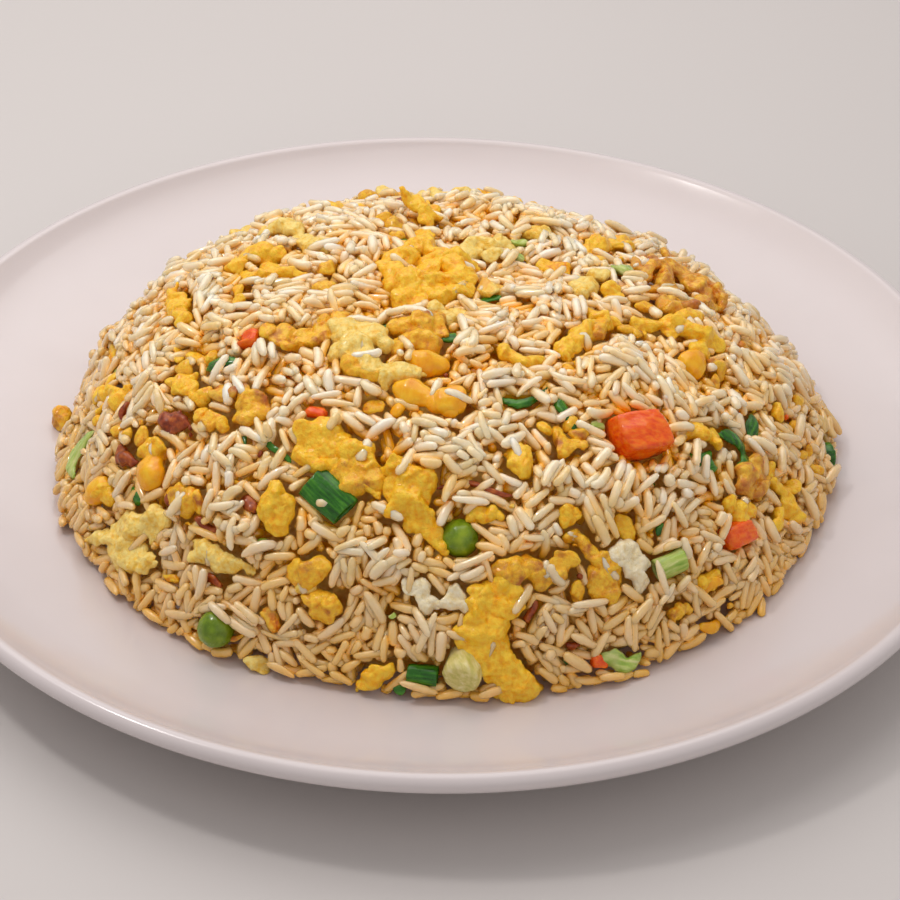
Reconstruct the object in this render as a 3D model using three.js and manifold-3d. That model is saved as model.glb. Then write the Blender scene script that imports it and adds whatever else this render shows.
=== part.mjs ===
// A plate of egg fried rice: a coupe plate, the heap of rice it holds, and the larger
// pieces of egg, corn, carrot, pea, scallion and sausage that lie in the heap's surface.
//
// Millimetres, +Z up. The origin is the centre of the foot ring, on the surface that the
// plate stands on. +X is to the right and -Y is the front.

import * as THREE from 'three';
import { mergeVertices } from 'three/addons/utils/BufferGeometryUtils.js';
import Module from 'manifold-3d';

const wasm = await Module();
wasm.setup();

// ---------------------------------------------------------------- driving dimensions

const GAP = 0.35;                 // clearance between neighbouring pieces

const PLATE = {
  crestRadius: 128.5,             // top line of the rim
  height: 20.5,
  edgeRadius: 2.05,               // the rim is a full round
  lipRadius: 119,                 // where the gentle slope turns up into the lip
  lipHeight: 14.8,
  flatRadius: 58,                 // level middle of the well
  floorHeight: 8,
  curve: 2.2,                     // power of the slope between the middle and the lip
  wall: 4.4,
  edgeTurns: [140, 90, 30, -30, -90],   // degrees round the rim's edge, from its inner side
  slopeSteps: 4,
  underRadii: [119, 100, 82],     // rings of the underside, down to the foot
  footOuter: 82,
  footInner: 74,
  footEdge: 1.5,                  // chamfer on both sides of the ring's flat face
  recess: 3,                      // height of the underside inside the foot ring
  segments: 40,
};

const HEAP = {
  x: 2.5,
  y: -5.5,
  radius: 92.2,
  height: 44,
  edge: 2.6,                      // the outermost grains are one layer thick
  power: 3.6,                     // high power: flat top, steep sides
  leanX: -0.12,                   // the left shoulder is higher than the right
  leanY: -0.2,                    // and the front higher than the back
  under: [0, 0.63, 0.8, 1],       // rings of its underside, as parts of the radius
  rings: 11,
  segments: 36,
};

// Shallow bays round the heap's foot: depth, how many go round, and phase.
const BAYS = [[0.8, 2, -0.4], [0.6, 5, 1.2], [0.5, 9, 2]];

const CORN = { length: 8.4, width: 7, thickness: 5.2, taper: 0.26 };
const PEA_RADIUS = 4;
const TUBE_WALL = 0.9;            // wall of a scallion leaf where it is cut as a ring
// A dice's corners follow a power curve, and its sides lean in x and y.
const DICE = { power: 5, leanX: 0.14, leanY: -0.12, shear: -0.1 };
const STALK_EDGE = 0.7;           // chamfer on the cut edges of a scallion's white end
const STRAND = { sides: 6, blunt: 0.35, ripple: 0.13 };
const WELD = 1e-4;                // vertices closer than this are one

// ---------------------------------------------------------------- materials

function material(colour, roughness) {
  return new THREE.MeshStandardMaterial({ color: colour, roughness, metalness: 0 });
}

const glaze = material(0xe8dbd9, 0.22);
const rice = material(0xd8c9a4, 0.4);
const egg = material(0xefb92e, 0.5);
const friedEgg = material(0xd98a24, 0.45);
const corn = material(0xf2a91c, 0.3);
const carrot = material(0xf0641e, 0.35);
const pea = material(0x5f9a1e, 0.3);
const scallion = material(0x2f8a2a, 0.35);
const scallionWhite = material(0xd2cf8e, 0.35);
const sausage = material(0x8c2a16, 0.4);

// ---------------------------------------------------------------- surfaces

// Height of the plate's inner surface at a distance from its axis.
function wellHeight(radius) {
  const slope = Math.max(0, radius - PLATE.flatRadius) / (PLATE.lipRadius - PLATE.flatRadius);
  return PLATE.floorHeight + (PLATE.lipHeight - PLATE.floorHeight) * slope ** PLATE.curve;
}

// The foot of the heap is nearly a circle.
function heapRadius(angle) {
  return BAYS.reduce(
    (radius, [depth, count, phase]) => radius + depth * Math.sin(count * angle + phase),
    HEAP.radius,
  );
}

// Low humps and dips all over the heap.
function humps(x, y) {
  return 0.6 * Math.sin(x / 6.3 + 0.9) * Math.sin(y / 5.4 + 0.4)
    + 0.5 * Math.sin(x / 9.7 + y / 8.1 + 2)
    + 0.4 * Math.sin(x / 4.4 - y / 7.9);
}

// Top of the heap, or the plate where there is no rice.
function heapHeight(x, y) {
  const dx = x - HEAP.x;
  const dy = y - HEAP.y;
  const reach = heapRadius(Math.atan2(dy, dx));
  const s = Math.hypot(dx, dy) / reach;
  if (s > 1) {
    return wellHeight(Math.hypot(x, y));
  }
  const lean = 1 + (HEAP.leanX * dx + HEAP.leanY * dy) / reach;
  const dome = (HEAP.height - HEAP.edge) * lean * (1 - s ** HEAP.power);
  return wellHeight(HEAP.radius) + HEAP.edge + dome + humps(x, y) * (1 - s ** 6);
}

function heapNormal(x, y) {
  const step = 1.5;
  const slopeX = (heapHeight(x + step, y) - heapHeight(x - step, y)) / (2 * step);
  const slopeY = (heapHeight(x, y + step) - heapHeight(x, y - step)) / (2 * step);
  return new THREE.Vector3(-slopeX, -slopeY, 1).normalize();
}

// ---------------------------------------------------------------- solids

// Leaves only positions, welds them and drops the flat triangles at a lathe's axis.
function welded(geometry) {
  const bare = geometry.clone();
  bare.deleteAttribute('normal');
  bare.deleteAttribute('uv');
  const merged = mergeVertices(bare, WELD);
  const corners = merged.index.array;
  const kept = [];
  for (let i = 0; i < corners.length; i += 3) {
    const [a, b, c] = corners.slice(i, i + 3);
    if (a !== b && b !== c && c !== a) {
      kept.push(a, b, c);
    }
  }
  merged.setIndex(kept);
  return merged;
}

function solidOf(geometry) {
  const merged = welded(geometry);
  return new wasm.Manifold(new wasm.Mesh({
    numProp: 3,
    vertProperties: new Float32Array(merged.attributes.position.array),
    triVerts: new Uint32Array(merged.index.array),
  }));
}

function geometryOf(solid) {
  const mesh = solid.getMesh();
  const geometry = new THREE.BufferGeometry();
  geometry.setAttribute('position', new THREE.BufferAttribute(mesh.vertProperties, 3));
  geometry.setIndex(new THREE.BufferAttribute(mesh.triVerts, 1));
  geometry.computeVertexNormals();
  return geometry;
}

// Runs a function over a geometry's vertices, which changes each one in place.
function reshape(geometry, change) {
  const position = geometry.attributes.position;
  const v = new THREE.Vector3();
  for (let i = 0; i < position.count; i += 1) {
    v.fromBufferAttribute(position, i);
    change(v);
    position.setXYZ(i, v.x, v.y, v.z);
  }
  return geometry;
}

// ---------------------------------------------------------------- plate and rice

function plateGeometry() {
  const outline = [[0, PLATE.floorHeight]];
  for (let i = 0; i <= PLATE.slopeSteps; i += 1) {
    const radius = THREE.MathUtils.lerp(PLATE.flatRadius, PLATE.lipRadius, i / PLATE.slopeSteps);
    outline.push([radius, wellHeight(radius)]);
  }
  const edgeZ = PLATE.height - PLATE.edgeRadius;
  for (const degrees of PLATE.edgeTurns) {
    const angle = THREE.MathUtils.degToRad(degrees);
    const radius = PLATE.crestRadius + PLATE.edgeRadius * Math.cos(angle);
    outline.push([radius, edgeZ + PLATE.edgeRadius * Math.sin(angle)]);
  }
  for (const radius of PLATE.underRadii) {
    outline.push([radius, wellHeight(radius) - PLATE.wall]);
  }
  outline.push([PLATE.footOuter - PLATE.footEdge, 0]);
  outline.push([PLATE.footInner + PLATE.footEdge, 0]);
  outline.push([PLATE.footInner, PLATE.recess]);
  outline.push([0, PLATE.recess]);
  const profile = outline.reverse().map(([radius, z]) => new THREE.Vector2(radius, z));
  return new THREE.LatheGeometry(profile, PLATE.segments).rotateX(Math.PI / 2);
}

// A flat lathe of unit radius, pulled out to the heap's foot and up to its surface, and
// enlarged by grow on its outer side.
function heapGeometry(grow) {
  const under = HEAP.under.map((s) => new THREE.Vector2(s, -1));
  const over = [];
  for (let i = HEAP.rings; i >= 0; i -= 1) {
    over.push(new THREE.Vector2(Math.sin((i / HEAP.rings) * (Math.PI / 2)), 1));
  }
  const lathe = new THREE.LatheGeometry([...under, ...over], HEAP.segments).rotateX(Math.PI / 2);
  return reshape(lathe, (v) => {
    const angle = Math.atan2(v.y, v.x);
    const reach = Math.hypot(v.x, v.y) * (heapRadius(angle) - WELD);
    const x = HEAP.x + reach * Math.cos(angle);
    const y = HEAP.y + reach * Math.sin(angle);
    const wider = 1 + grow / HEAP.radius;
    v.z = v.z > 0 ? heapHeight(x, y) + grow : wellHeight(Math.hypot(x, y)) + GAP - grow;
    v.x = HEAP.x + (x - HEAP.x) * wider;
    v.y = HEAP.y + (y - HEAP.y) * wider;
  });
}

// ---------------------------------------------------------------- topping shapes
// Each returns a geometry about its own centre, enlarged by grow on every side.

function kernel(grow) {
  return reshape(new THREE.SphereGeometry(1, 7, 5), (v) => {
    const narrow = 1 - CORN.taper * v.x;
    v.x *= CORN.length / 2 + grow;
    v.y *= narrow * (CORN.width / 2 + grow);
    v.z *= (0.5 + 0.5 * narrow) * (CORN.thickness / 2 + grow);
  });
}

function ball(grow) {
  return new THREE.SphereGeometry(PEA_RADIUS + grow, 9, 6);
}

// A hand-cut dice: a box with its corners drawn in and its sides out of square.
function dice(length, width, height) {
  return (grow) => reshape(new THREE.BoxGeometry(2, 2, 2, 2, 2, 2), (v) => {
    const { power, leanX, leanY, shear } = DICE;
    const sum = Math.abs(v.x) ** power + Math.abs(v.y) ** power + Math.abs(v.z) ** power;
    v.divideScalar(sum ** (1 / power));
    v.x = (v.x + leanX * v.z + shear * v.y) * (length / 2 + grow);
    v.y = (v.y + leanY * v.z) * (width / 2 + grow);
    v.z *= height / 2 + grow;
  });
}

// A cut length of hollow leaf along X, squashed to the given height. Enlarged, it is
// filled, so that nothing is left inside it.
function tube(length, width, height) {
  return (grow) => {
    const outer = width / 2 + grow;
    const inner = grow > 0 ? 0 : outer - TUBE_WALL;
    const half = length / 2 + grow;
    const corners = [[inner, -half], [outer, -half], [outer, half], [inner, half]];
    if (inner > 0) {
      corners.push(corners[0]);
    }
    const profile = corners.map(([radius, along]) => new THREE.Vector2(radius, along));
    return new THREE.LatheGeometry(profile, 10).rotateZ(-Math.PI / 2).scale(1, 1, height / width);
  };
}

// The solid white end of a scallion, its cut edges slightly rounded.
function stalk(length, width) {
  return (grow) => {
    const outer = width / 2 + grow;
    const half = length / 2 + grow;
    const profile = [
      [0, -half], [outer - STALK_EDGE, -half], [outer, STALK_EDGE - half],
      [outer, half - STALK_EDGE], [outer - STALK_EDGE, half], [0, half],
    ].map(([radius, along]) => new THREE.Vector2(radius, along));
    return new THREE.LatheGeometry(profile, 10).rotateZ(-Math.PI / 2);
  };
}

// ---------------------------------------------------------------- firm toppings

// rise lifts the piece's centre off the heap along the surface normal. heading turns it
// about that normal, from +X; tilt then raises its front end. Both are in degrees. A piece
// on the plate is raised straight up from the well instead.
const FIRM = [
  {
    name: 'corn_top', shape: kernel, colour: corn,
    x: -3, y: -42, rise: 1.1, heading: 170, tilt: 12,
  },
  {
    name: 'corn_mid_left', shape: kernel, colour: corn,
    x: -6, y: -51.5, rise: 0.6, heading: 160, tilt: 0,
  },
  {
    name: 'corn_mid_right', shape: kernel, colour: corn,
    x: 2.5, y: -55, rise: 0.8, heading: -10, tilt: -8,
  },
  {
    name: 'corn_right', shape: kernel, colour: corn,
    x: 57, y: -23, rise: 0.6, heading: 60, tilt: 20,
  },
  {
    name: 'corn_left', shape: kernel, colour: corn,
    x: -61, y: -53.5, rise: 1, heading: 100, tilt: 10,
  },
  {
    name: 'corn_left_low', shape: kernel, colour: corn,
    x: -74, y: -46.5, rise: 0.8, heading: 200, tilt: 5,
  },
  {
    name: 'corn_rear', shape: kernel, colour: corn,
    x: -12, y: 77, rise: 0.6, heading: 35, tilt: 0,
  },
  {
    name: 'carrot_dice', shape: dice(12, 10.5, 10), colour: carrot,
    x: 42.3, y: -52.6, rise: 1, heading: 20, tilt: 14,
  },
  {
    name: 'carrot_right', shape: dice(9.2, 5.4, 4.6), colour: carrot,
    x: 65, y: -60, rise: 0.2, heading: 35, tilt: 0,
  },
  {
    name: 'carrot_rear', shape: dice(8, 7, 5.6), colour: carrot,
    x: 9, y: 79, rise: -0.2, heading: 70, tilt: 0,
  },
  {
    name: 'pea_front', shape: ball, colour: pea,
    x: -45, y: -83.5, rise: 0.9, heading: 0, tilt: 0,
  },
  {
    name: 'pea_mid', shape: ball, colour: pea,
    x: 5, y: -79, rise: -1.4, heading: 0, tilt: 0,
  },
  {
    name: 'pea_rear', shape: ball, colour: pea,
    x: -52, y: 60.5, rise: 0.4, heading: 0, tilt: 0,
  },
  {
    name: 'scallion_cut', shape: tube(10, 7.6, 3.6), colour: scallion,
    x: -22, y: -71.5, rise: 1, heading: -52, tilt: -4,
  },
  {
    name: 'scallion_front', shape: tube(6.3, 4.6, 3.8), colour: scallion,
    x: -1.9, y: -96, rise: -0.4, heading: -8, tilt: 0,
  },
  {
    name: 'scallion_right', shape: tube(7, 5.2, 4.2), colour: scallion,
    x: 49, y: -73, rise: 0.9, heading: 35, tilt: 8,
  },
  {
    name: 'scallion_end', shape: stalk(6.6, 8), colour: scallionWhite,
    x: 6.5, y: -95.4, rise: 0.2, heading: 258, tilt: 52,
  },
  {
    name: 'scallion_edge', shape: tube(3.6, 6.2, 6.2), colour: scallion,
    x: 92, y: -15, rise: 3.6, heading: 4, tilt: 0, onPlate: true,
  },
];

// ---------------------------------------------------------------- soft toppings

// A piece is one or more strands that run into each other. A strand's points are
// [x, y, half width, rise]; rise lifts the strand off the heap along the surface normal.
// thick is its half thickness at full width.
const SOFT = [
  {
    name: 'egg_front_hook', colour: egg, thick: 2.1,
    strands: [
      [[5.5, -88, 2.4], [11, -87.5, 4], [18.5, -86, 1.8]],
      [
        [11, -85, 4.4], [10, -89.5, 5.2], [11, -93, 4.8],
        [14.5, -95, 3.8, 0.4], [19, -96, 3.2, 0.8], [22, -95.5, 2, 0.8],
      ],
    ],
  },
  {
    name: 'egg_centre_tail', colour: egg, thick: 2.4,
    strands: [
      [[-12, -67.5, 1.8, 0.4], [-7, -68, 3, 0.8], [-0.5, -70, 2]],
      [[-8, -67, 3, 0.6], [-6.5, -73, 4, 0.8], [-3, -77, 2.6, 0.4], [0, -79.5, 1.5], [2.5, -82, 0.7]],
    ],
  },
  {
    name: 'egg_three_lobes', colour: egg, thick: 2.3,
    strands: [
      [[-30, -60, 1.8], [-25, -60.5, 3.1, 0.8], [-20, -60.5, 2]],
      [[-31, -64, 1.4], [-26, -65, 2.4, 0.6], [-20, -67, 2.2], [-13, -69, 1.4]],
      [[-24, -60, 2.6], [-21, -64, 2.6], [-18, -67, 2]],
      [[-19, -62, 1.8], [-15, -65, 2.6, 0.6], [-14, -69, 2], [-12, -74, 2]],
    ],
  },
  {
    name: 'egg_left_lump', colour: egg, thick: 2.4,
    strands: [[[-34.5, -66.5, 1.8], [-33, -69.5, 3, 0.8], [-33, -73, 3.1, 0.6], [-33, -76, 1.6]]],
  },
  {
    name: 'egg_golden_lump', colour: egg, thick: 2.4,
    strands: [[[-42, -44.5, 1.8], [-40.5, -48, 2.9, 1], [-40, -52.5, 1.9]]],
  },
  {
    name: 'egg_band_left', colour: friedEgg, thick: 1.9,
    strands: [[[-37, -32.5, 1.8], [-30.5, -35, 3, 0.6], [-24.5, -31.5, 2.7, 0.7], [-16.5, -26, 1.8, 0.2]]],
  },
  {
    name: 'egg_curd', colour: egg, thick: 2.6,
    strands: [
      [[-23.5, -37, 2, 0.6], [-19, -33.5, 3.4, 1.2], [-13.5, -35.5, 3.6, 1], [-9.5, -40, 2.6, 0.4]],
      [
        [-23, -38.5, 1.8], [-18, -43, 2.6, 0.6], [-13, -46.5, 2.5, 0.6],
        [-7.5, -46.5, 2, 0.6], [-1, -47, 1.4, 0.6],
      ],
      [[-19.5, -35, 3, 1], [-17, -39, 3, 1.2], [-14.5, -44, 2.6, 0.8]],
    ],
  },
  {
    name: 'egg_behind_corn', colour: friedEgg, thick: 1.9,
    strands: [
      [[-8.5, -33.5, 1.8], [-4, -32, 2.4, 0.4], [1.5, -30, 1.8]],
      [[-4, -30, 1.8], [0, -25, 2], [6, -20, 1.4]],
    ],
  },
  {
    name: 'egg_swirl', colour: egg, thick: 2.6,
    strands: [
      [[-14.5, 0.5, 1.8, 0.4], [-10, 3, 2.6, 0.9], [-4, 3, 2.6, 0.9]],
      [[-11, 2, 2.4, 0.8], [-10, -6, 3.1, 1], [-4, -13.5, 3, 0.8], [2, -14, 2.4, 0.5], [8, -12, 1.4, 0.2]],
      [[-7, 2.5, 2.6, 0.9], [-1, 1, 3, 1.2], [5, -4, 3, 1.2], [5, -11, 2.4, 0.8]],
      [
        [-4, 16, 1.2, 2.4], [-3.5, 11, 2, 1.2], [-1.5, 4, 2.4, 1],
        [4, 2.5, 2.4, 0.8], [9.5, -0.5, 1.8, 0.3],
      ],
    ],
  },
  {
    name: 'egg_top_flake', colour: egg, thick: 1.2,
    strands: [
      [[-8.4, 30, 0.5, 8.2], [-7.6, 30, 1.4, 5], [-4, 30, 2.1, 2], [0.5, 29.5, 1.6, 1.2]],
      [[-5, 29, 1.6, 1.8], [-3, 25, 1.6, -0.4]],
    ],
  },
  {
    name: 'egg_back_crumble', colour: egg, thick: 1.8,
    strands: [[[2.5, 8.5, 1.4], [8, 11, 2.4, 0.6], [13, 13.5, 2.4, 0.8], [17.5, 14, 1.6]]],
  },
  {
    name: 'egg_back_pair', colour: egg, thick: 2.2,
    strands: [
      [[35, 19.5, 2], [37.5, 23.5, 3, 0.6], [41, 27, 2.2]],
      [[39, 27, 2], [44, 28, 2.3, 1.2], [48.5, 28.5, 1.6, 0.6]],
    ],
  },
  {
    name: 'egg_crisp_back', colour: friedEgg, thick: 1.4,
    strands: [
      [[46, 9, 1.6], [50, 13, 1.9, 2.2], [54.5, 16, 2, 3.4], [59.5, 16.5, 2.2, 3.4], [63, 15.5, 2, 4]],
      [[61, 16, 1.8, 4], [65, 11.5, 1.8, 3.6], [67, 6.5, 1.8, 1.6]],
      [[51, -3, 1.8, 0.4], [56, 0.5, 2.4, 0.9], [61, 4, 2.1, 1.2], [67.5, 7.5, 1.8, 1.8]],
      [[54, 15.5, 1.9, 3], [52.5, 8, 2.1, 1.4], [54.5, -0.5, 2.2, 0.8]],
      [[56, 15.5, 1.8, 3], [61.5, 11, 1.9, 2.4], [66, 9.5, 1.8, 2.8]],
    ],
  },
  {
    name: 'egg_right_big', colour: egg, thick: 2.4,
    strands: [
      [[43, -16, 1.4, 0.4], [47.5, -14.5, 2, 0.7], [53.5, -13, 2.6, 0.9]],
      [[50, -10.5, 2.2, 0.6], [55.5, -12.5, 3.2, 1.1], [61, -14.5, 3.3, 1], [65.5, -15, 2, 0.3]],
      [[53.5, -11, 1.8, 0.4], [56.5, -7, 1.6, 0.6], [60.5, -5.5, 1.3]],
    ],
  },
  {
    name: 'egg_right_long', colour: egg, thick: 1.9,
    strands: [[
      [27, -38.5, 1.3], [27.5, -32, 2.2, 0.4], [32, -26.5, 2.2, 0.6],
      [37, -19.5, 2.1, 0.6], [41, -14, 1.4],
    ]],
  },
  {
    name: 'egg_back_left', colour: egg, thick: 1.7,
    strands: [[[-43.5, 21, 1.2], [-40, 22.5, 1.9, 0.8], [-36, 22.5, 2.4, 1], [-33.5, 18.5, 1.4]]],
  },
  {
    name: 'egg_left_ring', colour: egg, thick: 1.5,
    strands: [
      [[-48.5, 1, 1.6], [-46.5, 6.5, 1.9, 0.4], [-42, 8.5, 1.8, 0.6], [-36.5, 7.5, 1.3]],
      [[-48, 1.5, 1.5], [-43, -3, 1.7, 0.3], [-37, -3.5, 2.3, 0.5], [-31, -5, 1.5]],
      [[-41, 7, 1.5, 0.4], [-40, 2, 1.6], [-38.5, -3, 1.6]],
    ],
  },
  {
    name: 'egg_left_spike', colour: egg, thick: 1.9,
    strands: [[[-60.5, 2, 0.6, 3.6], [-60, -3, 2.2, 1.6], [-59.5, -9, 3.4, 0.6], [-58.5, -16, 2.4]]],
  },
  {
    name: 'egg_left_fluff', colour: egg, thick: 2,
    strands: [[[-60.5, -33, 1.6], [-56, -36.5, 2.4, 0.6], [-51.5, -41.5, 2.2]]],
  },
  {
    name: 'egg_left_yellow', colour: egg, thick: 2,
    strands: [[[-78, -18.5, 1.8], [-74, -22.5, 2.3, 0.4], [-68.5, -26.5, 1.7]]],
  },
  {
    name: 'egg_wrinkled', colour: egg, thick: 2,
    strands: [
      [[-78.5, -51, 0.8, 0.4], [-75, -53.5, 1.2, 0.5], [-71, -57, 2.2, 0.6], [-67, -60, 2.2, 0.4]],
      [[-71.5, -57, 2.6, 0.2], [-67, -62, 3.7, 0.5], [-62.5, -66, 3.6, 0.5], [-58.5, -69, 2.2]],
      [[-70.5, -56, 2.6, 0.6], [-64, -60, 3.4, 1], [-57.5, -63, 2.4, 0.2]],
    ],
  },
  {
    name: 'egg_orange_left', colour: egg, thick: 1.6,
    strands: [[[-51.5, -69, 1], [-47.5, -72.5, 1.7, 0.4], [-43, -75.5, 1.9, 0.4], [-38, -78.5, 1]]],
  },
  {
    name: 'egg_front_small', colour: egg, thick: 1.6,
    strands: [[[-15.5, -95.5, 1.4, 0.4], [-12, -95, 2.3, 0.6], [-8.5, -94.5, 1.4, 0.2]]],
  },
  {
    name: 'egg_right_strip', colour: friedEgg, thick: 1.3,
    strands: [
      [[28.5, -75, 1.5, 0.4], [31, -77, 1.2, 0.8], [33.5, -78.5, 1.3, 0.8], [36.5, -80.5, 1.6, 0.4]],
      [[30.5, -82, 1.6], [34, -81.5, 2.2, 0.4], [37, -81, 2, 0.4], [36.5, -84, 1]],
    ],
  },
  {
    name: 'egg_yellow_block', colour: egg, thick: 2,
    strands: [[[14, -65.5, 2], [17.5, -65, 2.9, 0.8], [20.5, -63.5, 1.9, 0.2]]],
  },
  {
    name: 'egg_mid_gold', colour: friedEgg, thick: 1.6,
    strands: [
      [[25.5, -54, 1.5], [26.5, -59, 2.3, 0.2], [28, -62.5, 1.5]],
      [[26, -60, 1.9], [32, -58.5, 1.3]],
    ],
  },
  {
    name: 'egg_browned', colour: friedEgg, thick: 1.9,
    strands: [
      [[65.5, -53, 1.2], [68, -48, 2.6, 0.6], [71, -42, 2, 0.2]],
      [[69, -50.5, 1.1, 0.2], [71.5, -46, 1.6, 0.8], [74, -40.5, 1.2, 0.2]],
    ],
  },
  {
    name: 'egg_strands', colour: egg, thick: 1.1,
    strands: [
      [[73, -43.5, 1.2, 0.2], [77, -41, 1.5, 0.6], [81.5, -36, 1]],
      [[75, -42.5, 1.2, 0.2], [79, -43.5, 1.7, 0.6], [77, -47, 1.2, 0.2]],
      [[78, -45.5, 1.2, 0.2], [75, -50.5, 1.5, 0.4], [72, -54.5, 1]],
    ],
  },
  {
    name: 'egg_rear_fold', colour: egg, thick: 2.3,
    strands: [
      [[-46, 61, 2], [-38, 67, 3.4, 0.4], [-29, 71.5, 3.4, 0.4], [-21, 74.5, 2]],
      [[-34, 69, 2.4, 0.4], [-34, 75, 2.6, 0.4], [-30, 79, 1.6, 0.2]],
    ],
  },
  {
    name: 'egg_rear_strip', colour: friedEgg, thick: 1.7,
    strands: [[[22, 78, 1.4], [30, 75, 2.2, 0.2], [38, 71, 2.3, 0.2], [46, 66.5, 1.3]]],
  },
  {
    name: 'scallion_right_upper', colour: scallion, thick: 0.9,
    strands: [[[71, -28, 1.2, 0.2], [70, -33, 2.4, 0.9], [68.5, -38, 1.3, 0.2]]],
  },
  {
    name: 'scallion_right_fold', colour: scallion, thick: 0.9,
    strands: [
      [[60.5, -42.5, 1.2], [64.5, -40.5, 2.1, 0.6], [68.5, -41.5, 1.8, 0.4]],
      [[68, -41, 1.7, 0.4], [67.5, -44.5, 1.8, 0.4], [65, -48, 1]],
    ],
  },
  {
    name: 'scallion_mid_curl', colour: scallion, thick: 0.9,
    strands: [[[12, -50.5, 1.2], [16.5, -52, 1.5, 0.6], [20.5, -49.5, 1.1, 0.6], [23.5, -45, 0.8, 0.4]]],
  },
  {
    name: 'scallion_mid_leaf', colour: scallion, thick: 0.9,
    strands: [[[24.5, -48, 1.6, 0.4], [27, -52, 1.6, 0.6], [29, -57, 1.2, 0]]],
  },
  {
    name: 'scallion_left_curl', colour: scallion, thick: 1.1,
    strands: [[[-51, -35, 1.6, 0.4], [-46.5, -35.5, 2.2, 0.8], [-42, -38, 1.3, 0.4]]],
  },
  {
    name: 'scallion_left_light', colour: scallion, thick: 1.1,
    strands: [[[-77, -29.5, 1.6, 0.2], [-81, -29, 2.3, 0.6], [-83, -31.5, 2.2, 0.4], [-81.5, -37, 1.3]]],
  },
  {
    name: 'scallion_slices', colour: scallion, thick: 1,
    strands: [
      [[33.5, -90, 1.5, 0.8], [36.5, -89.3, 1.9, 1], [40, -87.8, 1.6, 0.8]],
      [[36, -89.8, 1.6, 1.2], [40, -88.8, 1.9, 1.4], [43.5, -86.2, 1.4, 0.8]],
    ],
  },
  {
    name: 'scallion_rear', colour: scallion, thick: 1,
    strands: [[[57.5, 63, 1.2, 0.1], [61, 60, 1.8, 0.2], [64, 56, 1.2]]],
  },
  {
    name: 'sausage_left', colour: sausage, thick: 1.9,
    strands: [[[-60.5, -43.5, 1.8, 0.2], [-57, -45.5, 2.9, 0.6], [-53, -49, 2, 0.2]]],
  },
  {
    name: 'sausage_curve', colour: sausage, thick: 1.4,
    strands: [[[-70, -40.5, 1.5], [-68.5, -45, 2, 0.4], [-64, -49.5, 1.8]]],
  },
];

// ---------------------------------------------------------------- placing

// A frame on the heap: its origin is lifted by rise, its Z axis is the surface normal and
// its X axis lies along the heading.
function frameOn({ x, y, rise, heading, tilt, onPlate = false }) {
  const normal = onPlate ? new THREE.Vector3(0, 0, 1) : heapNormal(x, y);
  const floor = onPlate ? wellHeight(Math.hypot(x, y)) : heapHeight(x, y);
  const turn = THREE.MathUtils.degToRad(heading);
  const flat = new THREE.Vector3(Math.cos(turn), Math.sin(turn), 0);
  const across = new THREE.Vector3().crossVectors(normal, flat).normalize();
  const along = new THREE.Vector3().crossVectors(across, normal);
  const rotation = new THREE.Quaternion().setFromRotationMatrix(
    new THREE.Matrix4().makeBasis(along, across, normal),
  );
  const raise = new THREE.Quaternion().setFromAxisAngle(
    new THREE.Vector3(0, 1, 0),
    THREE.MathUtils.degToRad(-tilt),
  );
  const origin = new THREE.Vector3(x, y, floor).addScaledVector(normal, rise);
  return { origin, rotation: rotation.multiply(raise) };
}

// How far a piece has to be raised so that its lowest point clears the plate.
function clearance(geometry) {
  const position = geometry.attributes.position;
  let lift = 0;
  for (let i = 0; i < position.count; i += 1) {
    const floor = wellHeight(Math.hypot(position.getX(i), position.getY(i))) + GAP;
    lift = Math.max(lift, floor - position.getZ(i));
  }
  return lift;
}

function placed(geometry, { origin, rotation }) {
  return geometry.applyQuaternion(rotation).translate(origin.x, origin.y, origin.z);
}

// One strand: a sphere drawn out along a smooth line over the heap, wide and thin, with
// blunt ends, uneven edges and a flat underside where it meets the plate.
function strandGeometry(points, thick, grow, seed) {
  const line = new THREE.CatmullRomCurve3(points.map(([x, y, , rise = 0]) => (
    new THREE.Vector3(x, y, heapHeight(x, y)).addScaledVector(heapNormal(x, y), rise)
  )));
  const fullWidth = Math.max(...points.map((point) => point[2]));
  const sphere = new THREE.SphereGeometry(1, STRAND.sides, points.length + 2);
  return reshape(sphere, (v) => {
    const tip = Math.hypot(v.x, v.z) < WELD;
    const u = Math.acos(THREE.MathUtils.clamp(v.y, -1, 1)) / Math.PI;
    const turn = Math.atan2(v.z, v.x);
    const span = u * (points.length - 1);
    const from = Math.min(Math.floor(span), points.length - 2);
    const width = THREE.MathUtils.lerp(points[from][2], points[from + 1][2], span - from);
    const depth = thick * Math.sqrt(width / fullWidth);
    const ripple = STRAND.ripple * Math.sin(9 * u + 2 * turn + seed)
      + (STRAND.ripple / 2) * Math.sin(17 * u + 2 * seed);
    const size = (1 + ripple) * Math.sin(Math.PI * u) ** STRAND.blunt;
    const along = line.getTangent(u);
    line.getPoint(u, v);
    const up = heapNormal(v.x, v.y);
    const side = new THREE.Vector3().crossVectors(up, along).normalize();
    up.crossVectors(along, side);
    if (!tip) {
      v.addScaledVector(side, (width * size + grow) * Math.cos(turn));
      v.addScaledVector(up, (depth * size + grow) * Math.sin(turn));
    }
    v.addScaledVector(along, grow * (2 * u - 1));
    v.z = Math.max(v.z, wellHeight(Math.hypot(v.x, v.y)) + GAP);
  });
}

function softSolid({ strands, thick }, grow) {
  return strands
    .map((points, index) => solidOf(strandGeometry(points, thick, grow, points[0][0] + index)))
    .reduce((whole, strand) => whole.add(strand));
}

// ---------------------------------------------------------------- assembly

function mesh(name, geometry, colour) {
  const piece = new THREE.Mesh(geometry, colour);
  piece.name = name;
  return piece;
}

const dish = new THREE.Group();
const food = new THREE.Group();
dish.add(mesh('plate', plateGeometry(), glaze), food);

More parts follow.
